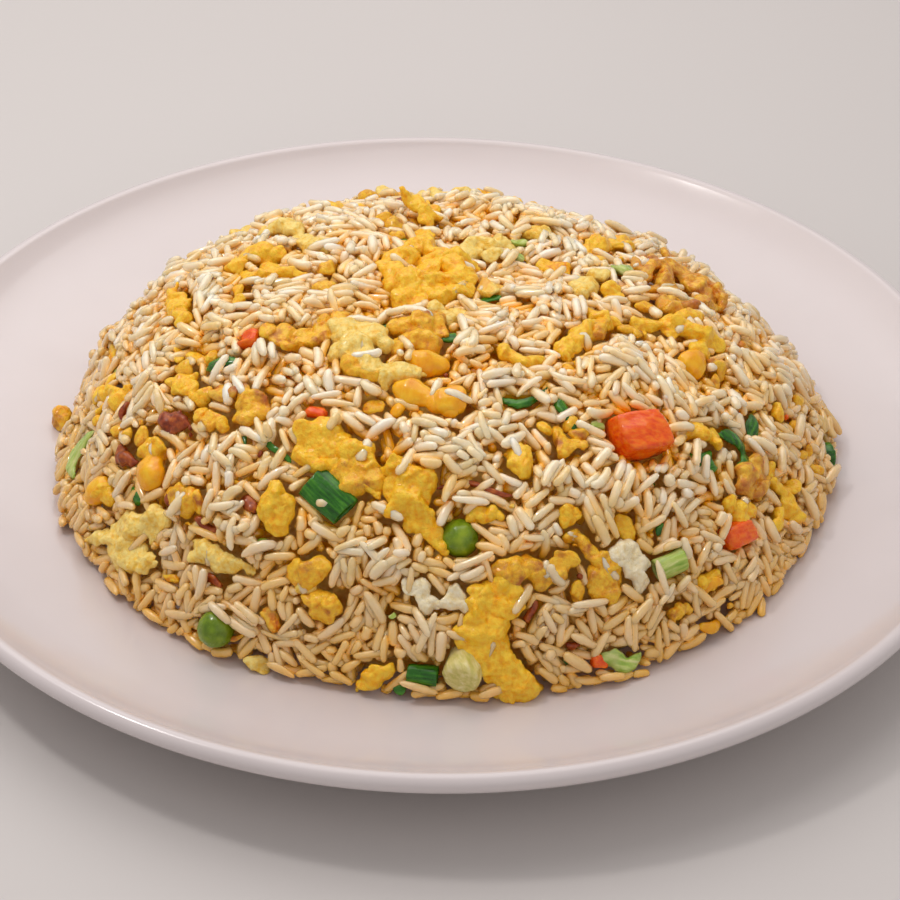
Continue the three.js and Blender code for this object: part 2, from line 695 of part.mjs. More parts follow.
const heapRoom = solidOf(heapGeometry(GAP));
let heap = solidOf(heapGeometry(0));
const taken = [];                 // enlarged solids of the toppings that are already placed

for (const piece of FIRM) {
  const frame = frameOn(piece);
  frame.origin.z += clearance(placed(piece.shape(0), frame));
  const topping = mesh(piece.name, piece.shape(0), piece.colour);
  topping.position.copy(frame.origin);
  topping.quaternion.copy(frame.rotation);
  food.add(topping);
  const room = solidOf(placed(piece.shape(GAP), frame));
  heap = heap.subtract(room);
  taken.push(room);
}

for (const piece of SOFT) {
  let topping = softSolid(piece, 0).subtract(heapRoom);
  for (const room of taken) {
    topping = topping.subtract(room);
  }
  food.add(mesh(piece.name, geometryOf(topping), piece.colour));
  taken.push(softSolid(piece, GAP));
}

food.add(mesh('rice_heap', geometryOf(heap), rice));

export default dish;
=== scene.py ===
"""A plate of egg fried rice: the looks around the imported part.

The plate and every topping are remade finely from their CAD nodes. The heap is remade as a
core with separate grains of rice dropped onto it, one by one, round the toppings, with the
small crumbs and leaves between them. Lengths are in millimetres until a mesh is made.
"""

import math

import bpy
import numpy as np
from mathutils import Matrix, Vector


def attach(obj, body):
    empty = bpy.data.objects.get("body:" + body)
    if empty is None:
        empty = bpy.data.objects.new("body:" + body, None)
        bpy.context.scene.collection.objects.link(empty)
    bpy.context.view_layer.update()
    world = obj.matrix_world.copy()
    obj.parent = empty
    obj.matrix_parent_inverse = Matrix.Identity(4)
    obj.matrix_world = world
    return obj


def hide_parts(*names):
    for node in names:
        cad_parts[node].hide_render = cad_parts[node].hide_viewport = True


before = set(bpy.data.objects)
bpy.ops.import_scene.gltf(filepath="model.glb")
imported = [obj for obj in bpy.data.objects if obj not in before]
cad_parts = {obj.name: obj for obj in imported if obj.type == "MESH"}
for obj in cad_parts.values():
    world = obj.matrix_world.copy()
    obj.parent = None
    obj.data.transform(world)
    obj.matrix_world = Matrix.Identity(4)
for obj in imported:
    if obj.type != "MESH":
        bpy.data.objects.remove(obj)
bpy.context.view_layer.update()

MM = 0.001

# ---------------- dimensions, in mm

GRAIN_LENGTH = 6.8
GRAIN_WIDTH = 2.25
COVER = 8.5                 # depth of the grains over the core

# The plate's inner surface and the heap, as in the CAD.
FLAT_RADIUS, LIP_RADIUS = 58.0, 119.0
FLOOR, LIP_HEIGHT, WELL_POWER = 8.0, 14.8, 2.2
HEAP_X, HEAP_Y, HEAP_RADIUS, HEAP_HEIGHT = 2.5, -5.5, 92.2, 44.0
HEAP_EDGE, HEAP_POWER, LEAN_X, LEAN_Y = 2.6, 3.6, -0.12, -0.2
BAYS = ((0.8, 2, -0.4), (0.6, 5, 1.2), (0.5, 9, 2.0))


def well(radius):
    """Height of the plate's inner surface."""
    slope = np.maximum(0.0, radius - FLAT_RADIUS) / (LIP_RADIUS - FLAT_RADIUS)
    return FLOOR + (LIP_HEIGHT - FLOOR) * slope ** WELL_POWER


def foot_radius(angle):
    return HEAP_RADIUS + sum(d * np.sin(n * angle + p) for d, n, p in BAYS)


def heap_top(x, y, humps=1.0, inset=0.0):
    """Height of the heap's surface, or of a dome that lies that far inside it."""
    dx, dy = x - HEAP_X, y - HEAP_Y
    reach = foot_radius(np.arctan2(dy, dx)) - inset
    s = np.minimum(np.hypot(dx, dy) / reach, 1.0)
    lean = 1 + (LEAN_X * dx + LEAN_Y * dy) / reach
    dome = (HEAP_HEIGHT - HEAP_EDGE - inset) * lean * (1 - s ** HEAP_POWER)
    hump = (0.6 * np.sin(x / 6.3 + 0.9) * np.sin(y / 5.4 + 0.4)
            + 0.5 * np.sin(x / 9.7 + y / 8.1 + 2)
            + 0.4 * np.sin(x / 4.4 - y / 7.9))
    return well(HEAP_RADIUS) + HEAP_EDGE + dome + humps * hump * (1 - s ** 6)


def heap_spread(x, y):
    """How far out a place is, from 0 at the middle to 1 at the foot."""
    dx, dy = x - HEAP_X, y - HEAP_Y
    return np.hypot(dx, dy) / foot_radius(np.arctan2(dy, dx))


def whole_surface(x, y):
    """Height of the heap, and of the plate round it."""
    return np.where(heap_spread(x, y) < 1, heap_top(x, y), well(np.hypot(x, y)))


def heap_normal(x, y):
    """Outward normals of the smooth heap at arrays of places."""
    spread = np.maximum(heap_spread(x, y), 1e-6)
    pull = np.minimum(0.965 / spread, 1.0)
    x = HEAP_X + (x - HEAP_X) * pull
    y = HEAP_Y + (y - HEAP_Y) * pull
    step = 1.5
    slope_x = (heap_top(x + step, y, 0.4) - heap_top(x - step, y, 0.4)) / (2 * step)
    slope_y = (heap_top(x, y + step, 0.4) - heap_top(x, y - step, 0.4)) / (2 * step)
    normal = np.stack([-slope_x, -slope_y, np.ones_like(slope_x)], -1)
    return normal / np.linalg.norm(normal, axis=-1, keepdims=True)


# ---------------- noise and meshes

def lattice(cell, seed):
    """A steady random number from -1 to 1 for each whole-number place."""
    n = cell[..., 0] * 73856093 ^ cell[..., 1] * 19349663 ^ cell[..., 2] * 83492791
    n = (n ^ seed * 374761393) & 0xFFFFFFFF
    n = ((n ^ n >> 13) * 1274126177) & 0xFFFFFFFF
    return ((n ^ n >> 16) & 0xFFFF) / 32767.5 - 1


def noise(points, size, seed=0):
    """Smooth noise from -1 to 1, with features of that size."""
    place = np.asarray(points, float) / size + 0.37 * seed
    base = np.floor(place).astype(np.int64)
    f = place - base
    f = f * f * (3 - 2 * f)
    total = 0.0
    for i in (0, 1):
        for j in (0, 1):
            for k in (0, 1):
                weight = ((f[..., 0] if i else 1 - f[..., 0])
                          * (f[..., 1] if j else 1 - f[..., 1])
                          * (f[..., 2] if k else 1 - f[..., 2]))
                total = total + weight * lattice(base + (i, j, k), seed)
    return total


def bumps(points, size, seed=0):
    """Rounded bumps from 0 to 1 that meet in creases, like those of a curd."""
    place = np.asarray(points, float) / size + 0.61 * seed
    base = np.floor(place).astype(np.int64)
    nearest = np.full(base.shape[:-1], 9.0)
    for i in (-1, 0, 1):
        for j in (-1, 0, 1):
            for k in (-1, 0, 1):
                cell = base + (i, j, k)
                spot = cell + 0.5 + 0.42 * np.stack(
                    [lattice(cell, seed + n) for n in (11, 12, 13)], -1)
                nearest = np.minimum(nearest, ((place - spot) ** 2).sum(-1))
    return np.sqrt(np.maximum(0.0, 1 - nearest / 0.9))


def unit(v):
    return v / np.maximum(np.sqrt((v * v).sum(-1, keepdims=True)), 1e-9)


def cross(a, b):
    """The cross product over the last axis, quicker for small arrays than numpy's."""
    x, y, z = a[..., 0], a[..., 1], a[..., 2]
    p, q, r = b[..., 0], b[..., 1], b[..., 2]
    return np.stack([y * r - z * q, z * p - x * r, x * q - y * p], -1)


def add_mesh(name, points, faces, material, attributes=None):
    """A smooth mesh object from points in mm. attributes are one number a point."""
    mesh = bpy.data.meshes.new(name)
    faces = np.asarray(faces)
    corners = faces.shape[1]
    mesh.vertices.add(len(points))
    mesh.vertices.foreach_set("co", (np.asarray(points) * MM).astype(np.float32).ravel())
    mesh.loops.add(faces.size)
    mesh.loops.foreach_set("vertex_index", faces.astype(np.int32).ravel())
    mesh.polygons.add(len(faces))
    starts = np.arange(0, faces.size, corners, dtype=np.int32)
    mesh.polygons.foreach_set("loop_start", starts)
    mesh.update(calc_edges=True)
    mesh.validate()
    mesh.shade_smooth()
    for key, values in (attributes or {}).items():
        layer = mesh.attributes.new(key, "FLOAT", "POINT")
        layer.data.foreach_set("value", np.asarray(values, np.float32))
    mesh.materials.append(material)
    piece = bpy.data.objects.new(name, mesh)
    bpy.context.scene.collection.objects.link(piece)
    return piece


def rows_of(items, key, kind=np.float32):
    """A property in three parts of all of a mesh's points, normals or triangles."""
    values = np.empty(len(items) * 3, kind)
    items.foreach_get(key, values)
    return values.reshape(-1, 3)


def joined(shapes):
    """The points and faces of several shapes as one shape."""
    starts = np.cumsum([0] + [len(points) for points, _ in shapes])
    return (np.concatenate([points for points, _ in shapes]),
            np.concatenate([faces + start for (_, faces), start in zip(shapes, starts)]))


def skin(rings, sides):
    """Faces of a closed skin: its top point, then rings of points, then its bottom point."""
    a = np.arange(sides) + 1
    b = np.arange(1, sides + 1) % sides + 1
    last = (rings - 1) * sides
    top = np.stack([0 * a, a, b], -1)
    bottom = np.stack([0 * a + last + sides + 1, last + b, last + a], -1)
    faces = [top, bottom]
    for start in range(0, last, sides):
        p, q, across = a + start, a + start + sides, b + start + sides
        faces += [np.stack([p, q, across], -1), np.stack([p, across, b + start], -1)]
    return np.concatenate(faces)


def ball(rounds):
    """A sphere of near-equal triangles: its points and faces."""
    gold = (1 + 5 ** 0.5) / 2
    points = [unit(np.array(p, float)) for p in (
        (-1, gold, 0), (1, gold, 0), (-1, -gold, 0), (1, -gold, 0), (0, -1, gold),
        (0, 1, gold), (0, -1, -gold), (0, 1, -gold), (gold, 0, -1), (gold, 0, 1),
        (-gold, 0, -1), (-gold, 0, 1))]
    faces = [(0, 11, 5), (0, 5, 1), (0, 1, 7), (0, 7, 10), (0, 10, 11), (1, 5, 9),
             (5, 11, 4), (11, 10, 2), (10, 7, 6), (7, 1, 8), (3, 9, 4), (3, 4, 2),
             (3, 2, 6), (3, 6, 8), (3, 8, 9), (4, 9, 5), (2, 4, 11), (6, 2, 10),
             (8, 6, 7), (9, 8, 1)]
    for _ in range(rounds):
        halves, finer = {}, []

        def half(a, b):
            key = (min(a, b), max(a, b))
            if key not in halves:
                halves[key] = len(points)
                points.append(unit(points[a] + points[b]))
            return halves[key]

        for a, b, c in faces:
            ab, bc, ca = half(a, b), half(b, c), half(c, a)
            finer += [(a, ab, ca), (b, bc, ab), (c, ca, bc), (ab, bc, ca)]
        faces = finer
    return np.array(points), np.array(faces)


BALLS = {rounds: ball(rounds) for rounds in (2, 3)}


# ---------------- materials

class Nodes:
    """One material, with short names for its nodes and for the sockets of its shader."""

    def __init__(self, name, **values):
        self.material = bpy.data.materials.new(name)
        self.material.use_nodes = True
        self.tree = self.material.node_tree
        self.place = self.add("ShaderNodeTexCoord").outputs["Object"]
        shader = self.tree.nodes["Principled BSDF"]
        shader.subsurface_method = "BURLEY"
        self.sockets = shader.inputs
        for key, value in values.items():
            self.sockets[key.replace("_", " ")].default_value = value

    def add(self, kind, **settings):
        node = self.tree.nodes.new(kind)
        for key, value in settings.items():
            setattr(node, key, value)
        return node

    def feed(self, target, value):
        """Sets a plain value on a socket, or links it to another node."""
        if isinstance(value, (int, float, tuple)):
            target.default_value = (*value, 1) if isinstance(value, tuple) else value
        else:
            self.tree.links.new(value, target)

    def noise(self, size, detail=2.0, place=None, stretch=None):
        """Noise with features of a size in mm."""
        source = place or self.place
        if stretch:
            mapping = self.add("ShaderNodeMapping")
            mapping.inputs["Scale"].default_value = stretch
            self.feed(mapping.inputs["Vector"], source)
            source = mapping.outputs["Vector"]
        node = self.add("ShaderNodeTexNoise")
        for key, value in (("Scale", 1 / (size * MM)), ("Detail", detail), ("Vector", source)):
            self.feed(node.inputs[key], value)
        return node.outputs["Fac"]

    def attribute(self, name, vector=False):
        node = self.add("ShaderNodeAttribute", attribute_name=name)
        return node.outputs["Vector" if vector else "Fac"]

    def ramp(self, value, stops):
        """Colours over a value. stops are (place, colour)."""
        node = self.add("ShaderNodeValToRGB")
        elements = node.color_ramp.elements
        while len(elements) < len(stops):
            elements.new(0.5)
        for element, (place, colour) in zip(elements, stops):
            element.position = place
            element.color = (*colour, 1)
        self.feed(node.inputs["Fac"], value)
        return node.outputs["Color"]

    def range(self, value, low, high, start, end):
        node = self.add("ShaderNodeMapRange")
        for key, number in zip(("Value", "From Min", "From Max", "To Min", "To Max"),
                               (value, low, high, start, end)):
            self.feed(node.inputs[key], number)
        return node.outputs["Result"]

    def mix(self, factor, first, second):
        """Mixes two colours; either may be plain."""
        node = self.add("ShaderNodeMix", data_type="RGBA")
        for value, key in ((factor, 0), (first, 6), (second, 7)):
            self.feed(node.inputs[key], value)
        return node.outputs[2]

    def sum(self, first, second):
        node = self.add("ShaderNodeMath", operation="ADD")
        self.feed(node.inputs[0], first)
        self.feed(node.inputs[1], second)
        return node.outputs[0]

    def dress(self, colour, rough, *heights):
        """The material with a colour, a roughness and bumps, as (value, height in mm)."""
        self.feed(self.sockets["Base Color"], colour)
        self.feed(self.sockets["Roughness"], rough)
        normal = None
        for value, height in heights:
            node = self.add("ShaderNodeBump")
            self.feed(node.inputs["Distance"], height * MM)
            self.feed(node.inputs["Height"], value)
            if normal:
                self.feed(node.inputs["Normal"], normal)
            normal = node.outputs["Normal"]
        if normal:
            self.feed(self.sockets["Normal"], normal)
        return self.material


def glaze_material():
    nodes = Nodes("glaze", Coat_Weight=0.25, Coat_Roughness=0.08)
    patches = nodes.noise(60, 3)
    colour = nodes.ramp(patches, [(0.3, (0.65, 0.588, 0.584)), (0.7, (0.675, 0.615, 0.612))])
    rough = nodes.range(nodes.noise(9, 4), 0.3, 0.7, 0.17, 0.27)
    return nodes.dress(colour, rough, (nodes.noise(24, 2), 0.12), (nodes.noise(1.2, 2), 0.004))


def rice_material():
    """Grains with a film of oil, painted pale on top of the heap, with painted golden shade in its
    crevices and painted shade towards its foot.
    """
    nodes = Nodes("rice", Subsurface_Weight=0.9, Subsurface_Radius=(1.0, 0.7, 0.35),
                  Subsurface_Scale=0.0022, Coat_Weight=0.9, Coat_Roughness=0.06,
                  Coat_IOR=1.75, Specular_IOR_Level=0.3)
    tone = nodes.attribute("tone")
    grain = nodes.ramp(tone, [
        (0.0, (0.80, 0.60, 0.27)), (0.3, (0.86, 0.71, 0.42)),
        (0.65, (0.89, 0.78, 0.55)), (1.0, (0.91, 0.84, 0.69))])
    cloud = nodes.range(nodes.noise(1.5, 2), 0.5, 0.7, 0.0, 0.4)
    grain = nodes.mix(cloud, grain, (0.95, 0.88, 0.70))
    oily = nodes.range(nodes.noise(11, 3), 0.47, 0.66, 0.0, 0.65)
    grain = nodes.mix(oily, grain, (0.88, 0.56, 0.12))
    # Painted shade, with oil: darker and browner towards the foot of the heap, where its lower
    # slopes lie in shade and oil and sauce have sunk.
    height = nodes.add("ShaderNodeSeparateXYZ")
    nodes.feed(height.inputs[0], nodes.place)
    low = nodes.range(height.outputs["Z"], 0.048, 0.014, 0.0, 0.62)
    grain = nodes.mix(low, grain, (0.58, 0.37, 0.13))
    # Painted shade: the crevices between clumps are painted a saturated gold, for shade and light
    # glowing through the grains; grains that stand out stay pale.
    crevice_shade = nodes.range(nodes.attribute("crevice_shade"), -0.35, 0.62, 0.0, 1.0)
    grain = nodes.mix(crevice_shade, grain, (0.93, 0.47, 0.012))
    rough = nodes.range(nodes.noise(2.2, 2), 0.35, 0.65, 0.2, 0.42)
    return nodes.dress(grain, rough, (nodes.noise(0.9, 2), 0.03))


def core_material():
    # Painted glow: the core shows only in the gaps between the grains, so it is painted golden
    # orange, as light glowing through the grains would colour them there.
    nodes = Nodes("rice_core", Subsurface_Weight=0.2, Subsurface_Scale=0.002)
    colour = nodes.ramp(nodes.noise(3, 3), [
        (0.3, (0.88, 0.44, 0.03)), (0.5, (0.94, 0.58, 0.09)), (0.7, (0.95, 0.70, 0.24))])
    return nodes.dress(colour, 0.5, (nodes.noise(2.2, 2), 0.8))


def egg_material(name, dark, middle, light, brown=0.0):
    """Scrambled egg: painted shade darkens its hollows and a painted highlight pales its ridges;
    browned in patches.
    """
    nodes = Nodes(name, Subsurface_Weight=0.25, Subsurface_Radius=(1.0, 0.6, 0.2),
                  Subsurface_Scale=0.0015, Coat_Weight=0.45, Coat_Roughness=0.1,
                  Specular_IOR_Level=0.2)
    relief = nodes.sum(nodes.attribute("relief"),
                       nodes.range(nodes.noise(1.1, 3), 0.3, 0.7, -0.22, 0.22))
    # Painted shade and highlight from the relief: dark in the hollows, light on the ridges.
    colour = nodes.ramp(relief, [(0.18, dark), (0.45, middle), (0.74, light)])
    patches = nodes.range(nodes.noise(5.5, 3), 0.45, 0.72, 0.0, 0.35)
    colour = nodes.mix(patches, colour, light)
    if brown:
        burnt = nodes.range(nodes.noise(3.4, 4), 0.62 - 0.22 * brown, 0.72, 0.0, 0.9)
        colour = nodes.mix(burnt, colour, (0.42, 0.10, 0.02))
    rough = nodes.range(nodes.noise(2.4, 2), 0.3, 0.7, 0.35, 0.6)
    return nodes.dress(colour, rough, (nodes.noise(1.3, 3), 0.5), (nodes.noise(0.45, 3), 0.2))


def plant_material(name, dark, middle, light, draw, size, gloss):
    """Vegetables: colour and fine relief drawn out along the piece's own axes."""
    nodes = Nodes(name, Subsurface_Weight=0.15, Subsurface_Radius=(0.8, 0.6, 0.3),
                  Subsurface_Scale=0.0012, Coat_Weight=0.4, Coat_Roughness=0.1,
                  Specular_IOR_Level=0.25)
    own = nodes.attribute("own", vector=True)
    lines = nodes.noise(size, 3, own, (draw, 1.0, 1.0))
    colour = nodes.ramp(lines, [(0.3, dark), (0.5, middle), (0.72, light)])
    patches = nodes.range(nodes.noise(4, 2), 0.5, 0.75, 0.0, 0.5)
    colour = nodes.mix(patches, colour, light)
    rough = nodes.range(nodes.noise(1.8, 2), 0.3, 0.7, gloss - 0.08, gloss + 0.15)
    return nodes.dress(colour, rough, (lines, 0.16), (nodes.noise(0.5, 2), 0.03))


# Dark, middle and light tone of each kind of egg, and how browned it is. The dark tone is painted
# shade in the hollows, the light tone a painted highlight on the ridges.
EGGS = {
    "egg": ((0.80, 0.23, 0.001), (0.93, 0.43, 0.003), (0.96, 0.61, 0.035)),
    "pale_egg": ((0.84, 0.36, 0.01), (0.91, 0.56, 0.06), (0.94, 0.73, 0.22)),
    "white_egg": ((0.80, 0.56, 0.18), (0.87, 0.72, 0.40), (0.91, 0.82, 0.58)),
    "fried_egg": ((0.70, 0.19, 0.002), (0.86, 0.37, 0.008), (0.92, 0.55, 0.03), 0.4),
    "crisp_egg": ((0.58, 0.12, 0.002), (0.82, 0.32, 0.008), (0.92, 0.56, 0.05), 1.0),
}
# The same tones of each vegetable and the sausage, then the draw of its fibres along its
# own axes, their size in mm and its roughness.
PLANTS = {
    "corn": ((0.84, 0.30, 0.003), (0.91, 0.42, 0.005), (0.93, 0.53, 0.02), 1.0, 2.6, 0.22),
    "carrot": ((0.76, 0.05, 0.002), (0.88, 0.11, 0.003), (0.92, 0.22, 0.01), 0.35, 0.8, 0.25),
    "pea": ((0.08, 0.15, 0.003), (0.15, 0.25, 0.004), (0.26, 0.36, 0.012), 1.0, 3.0, 0.2),
    "scallion": ((0.005, 0.048, 0.001), (0.017, 0.135, 0.003), (0.08, 0.29, 0.012),
                 0.12, 0.8, 0.25),
    "light_scallion": ((0.22, 0.40, 0.04), (0.42, 0.55, 0.10), (0.66, 0.68, 0.28),
                       0.15, 0.9, 0.25),
    "scallion_white": ((0.50, 0.46, 0.09), (0.66, 0.57, 0.18), (0.78, 0.69, 0.34),
                       0.3, 0.9, 0.25),
    "sausage": ((0.12, 0.012, 0.001), (0.30, 0.045, 0.004), (0.50, 0.13, 0.015), 1.0, 1.4, 0.4),
}
LOOK = {"glaze": glaze_material(), "rice": rice_material(), "core": core_material()}
LOOK.update((name, egg_material(name, *values)) for name, values in EGGS.items())
LOOK.update((name, plant_material(name, *values)) for name, values in PLANTS.items())

# ---------------- plate

def build_plate():
    """The plate as a fine lathe, its rim a full round and its foot ring rounded."""
    wall, crest, edge, height = 4.4, 128.5, 2.05, 20.5
    foot_outer, foot_inner, recess = 82.0, 74.0, 3.0
    inside = [(r, float(well(r))) for r in np.linspace(0, LIP_RADIUS, 22)]
    turns = np.radians(np.linspace(140, -90, 15))
    rim = [(crest + edge * math.cos(a), height - edge + edge * math.sin(a)) for a in turns]
    lip = [(123.2, 16.95)]
    under = [(r, float(well(r)) - wall) for r in (LIP_RADIUS, 110.0, 100.0, 91.0, 85.0)]
    under.insert(0, (124.5, 13.2))
    ring = [(foot_outer, float(well(foot_outer)) - wall), (foot_outer - 0.2, 2.4)]
    for centre, start in ((foot_outer - 1.5, 0), (foot_inner + 1.5, -90)):
        for degrees in range(0, 91, 30):
            a = math.radians(start - degrees)
            ring.append((centre + 1.3 * math.cos(a), 1.3 + 1.3 * math.sin(a)))
    ring += [(foot_inner, recess - 0.3), (foot_inner - 0.5, recess), (40.0, recess), (0.0, recess)]
    profile = np.array(inside + lip + rim + under + ring)
    sides = 256
    angles = np.arange(sides) * (2 * math.pi / sides)
    middle = profile[1:-1]
    points = np.stack([
        middle[:, None, 0] * np.cos(angles), middle[:, None, 0] * np.sin(angles),
        np.repeat(middle[:, 1:], sides, 1)], -1).reshape(-1, 3)
    points = np.vstack([[0, 0, profile[0, 1]], points, [0, 0, profile[-1, 1]]])
    piece = add_mesh("plate_glazed", points, skin(len(middle), sides), LOOK["glaze"])
    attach(piece, "root")
    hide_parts("plate")


build_plate()

# ---------------- toppings

# How each family is remade: voxel in mm, rounds of smoothing, then how far it is pulled
# about and its lumps, both as (size, height).
FAMILY = {
    "egg": (0.42, 1, ((4.2, 1.3), (2.1, 0.75)),
            ((3.4, -0.55), (1.9, -0.5), (1.0, -0.28), (0.9, 0.12))),
    "corn": (0.5, 4, ((5.0, 0.4),), ((3.5, 0.22), (1.2, 0.05))),
    "carrot": (0.5, 3, (), ((4.0, 0.25), (1.2, 0.07))),
    "pea": (0.5, 8, (), ((3.0, 0.15), (0.9, 0.06))),
    "scallion": (0.3, 2, ((5.0, 0.4),), ((3.5, 0.16), (1.1, 0.05))),
    "sausage": (0.45, 2, ((2.5, 0.5),), ((2.4, 0.6), (1.1, 0.3))),
}
SMOOTHING = 0.6
LUMP_SQUASH, LUMP_LIFT, LUMP_SWELL = 0.3, 0.3, 1.12         # of its radius
AT_FOOT, PLATE_LIFT = 0.97, 0.95    # lumps that far out lie on the plate, lifted that much
# Toppings that look other than their family.
OTHER_LOOKS = {
    "pale_egg": ("egg_curd", "egg_wrinkled", "egg_back_crumble", "egg_orange_left",
                 "egg_bits_pale", "egg_back_left"),
    "crisp_egg": ("egg_crisp_back", "egg_browned"),
    "fried_egg": ("egg_band_left", "egg_behind_corn", "egg_mid_gold", "egg_right_strip",
                  "egg_rear_strip", "egg_golden_lump", "egg_bits_gold"),
    "white_egg": ("egg_bits_white",),
    "scallion_white": ("scallion_end",),
    "light_scallion": ("scallion_right", "scallion_left_light", "scallion_slices"),
}
LOOK_OF = {node: look for look, nodes in OTHER_LOOKS.items() for node in nodes}
SLOT_OF = {"pale_egg": "egg", "white_egg": "egg", "crisp_egg": "fried_egg",
           "light_scallion": "scallion"}


def own_axes(points):
    """Points in the frame of their own long, middle and short axes."""
    centred = points - points.mean(0)
    _, axes = np.linalg.eigh(centred.T @ centred)
    return centred @ axes[:, ::-1]


def shape_of(node, balls):
    """A rough shape: a CAD node, if it is one, with balls (x, y, radius) set on the heap."""
    shapes = []
    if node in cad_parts:
        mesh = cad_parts[node].data
        mesh.calc_loop_triangles()
        shapes.append((rows_of(mesh.vertices, "co") / MM,
                       rows_of(mesh.loop_triangles, "vertices", np.int32)))
    sphere, faces = BALLS[2]
    for x, y, radius in balls:
        normal = heap_normal(np.array(x), np.array(y))
        flatter = sphere - LUMP_SQUASH * (sphere @ normal)[:, None] * normal
        height = float(heap_top(x, y)) + LUMP_LIFT * radius
        if heap_spread(x, y) > AT_FOOT:
            height = min(height, float(well(math.hypot(x, y))) + PLATE_LIFT * radius)
        centre = np.array([x, y, height])
        shapes.append((centre + LUMP_SWELL * radius * flatter, faces))
    return joined(shapes)


def remade(rough, voxel, rounds, warps, lumps):
    """A rough shape made fine, pulled about and with lumps on it: points, faces, relief."""
    work = add_mesh("work", *rough, LOOK["egg"])
    remesh = work.modifiers.new("remesh", "REMESH")
    remesh.mode = "VOXEL"
    remesh.voxel_size = voxel * MM
    smooth = work.modifiers.new("smooth", "SMOOTH")
    smooth.factor = SMOOTHING
    smooth.iterations = rounds
    made = work.evaluated_get(bpy.context.evaluated_depsgraph_get()).to_mesh()
    made.calc_loop_triangles()
    points = rows_of(made.vertices, "co").astype(float) / MM
    normals = rows_of(made.vertex_normals, "vector").astype(float)
    faces = rows_of(made.loop_triangles, "vertices", np.int32)
    work.to_mesh_clear()
    mesh = work.data
    bpy.data.objects.remove(work)
    bpy.data.meshes.remove(mesh)
    for seed, (size, reach) in enumerate(warps):
        points = points + reach * np.stack(
            [noise(points, size, 20 + 3 * seed + axis) for axis in range(3)], -1)
    relief = np.zeros(len(points))
    swell = 0.05 * rounds * voxel
    for seed, (size, height) in enumerate(lumps):
        if height < 0:
            bulge = 1.4 * bumps(points, size, seed + 3) - 0.9
        else:
            bulge = noise(points, size, seed + 3)
        height = abs(height)
        relief += bulge * height
        swell = swell + height * bulge
    points = points + normals * np.asarray(swell)[..., None]
    total = sum(abs(height) for _, height in lumps)
    return points, faces, 0.5 + 0.5 * relief / total


def add_own(piece, values):
    layer = piece.data.attributes.new("own", "FLOAT_VECTOR", "POINT")
    layer.data.foreach_set("vector", (values * MM).astype(np.float32).ravel())


# ---------------- places picked on the photo

# The photo's camera in mm, and its focal length and middle in pixels.
PHOTO_SIDE, LENS, SENSOR = 900, 80.0, 36.0
FOCAL, CENTRE = PHOTO_SIDE * LENS / SENSOR, PHOTO_SIDE / 2
EYE = np.array([0.0, -396.526, 296.144])
FORWARD = np.array([0.00662064, 0.80323505, -0.5956254])
UP = np.array([-0.01842909, 0.59563531, 0.80304356])
RIGHT = np.cross(FORWARD, UP)
PIXELS_PER_MM = 4.2         # about, all over the heap
PICKED_LOW = 0.024          # mm that the heap was lower when the places were picked
NEAREST, FARTHEST = 300.0, 760.0    # of what the photo shows, from the eye
LUMP_SHOWS = 0.25           # of its radius: how far over the heap a lump was picked
SMALL_SHOWS = 1.0           # mm, the same for a small piece


def seen_at(column, row, lift):
    """What a pixel shows, that much above the heap, and how far that is from the eye."""
    way = unit(FORWARD + (column - CENTRE) / FOCAL * RIGHT - (row - CENTRE) / FOCAL * UP)
    near, far = NEAREST, FARTHEST
    for _ in range(3):
        reach = np.linspace(near, far, 1500)
        at = EYE + reach[:, None] * way
        surface = whole_surface(at[:, 0], at[:, 1]) - PICKED_LOW + lift
        first = int((at[:, 2] < surface).argmax())
        near, far = reach[first - 1], reach[first]
    return EYE + far * way, far


def lump(pick):
    """A patch (column, row, radius in pixels) as a place x, y and a radius, to 0.1 mm."""
    column, row, radius = (float(number) for number in pick.split())
    place, far = seen_at(column, row, LUMP_SHOWS * radius / PIXELS_PER_MM)
    return tuple(round(float(v), 1) for v in (place[0], place[1], radius * far / FOCAL))


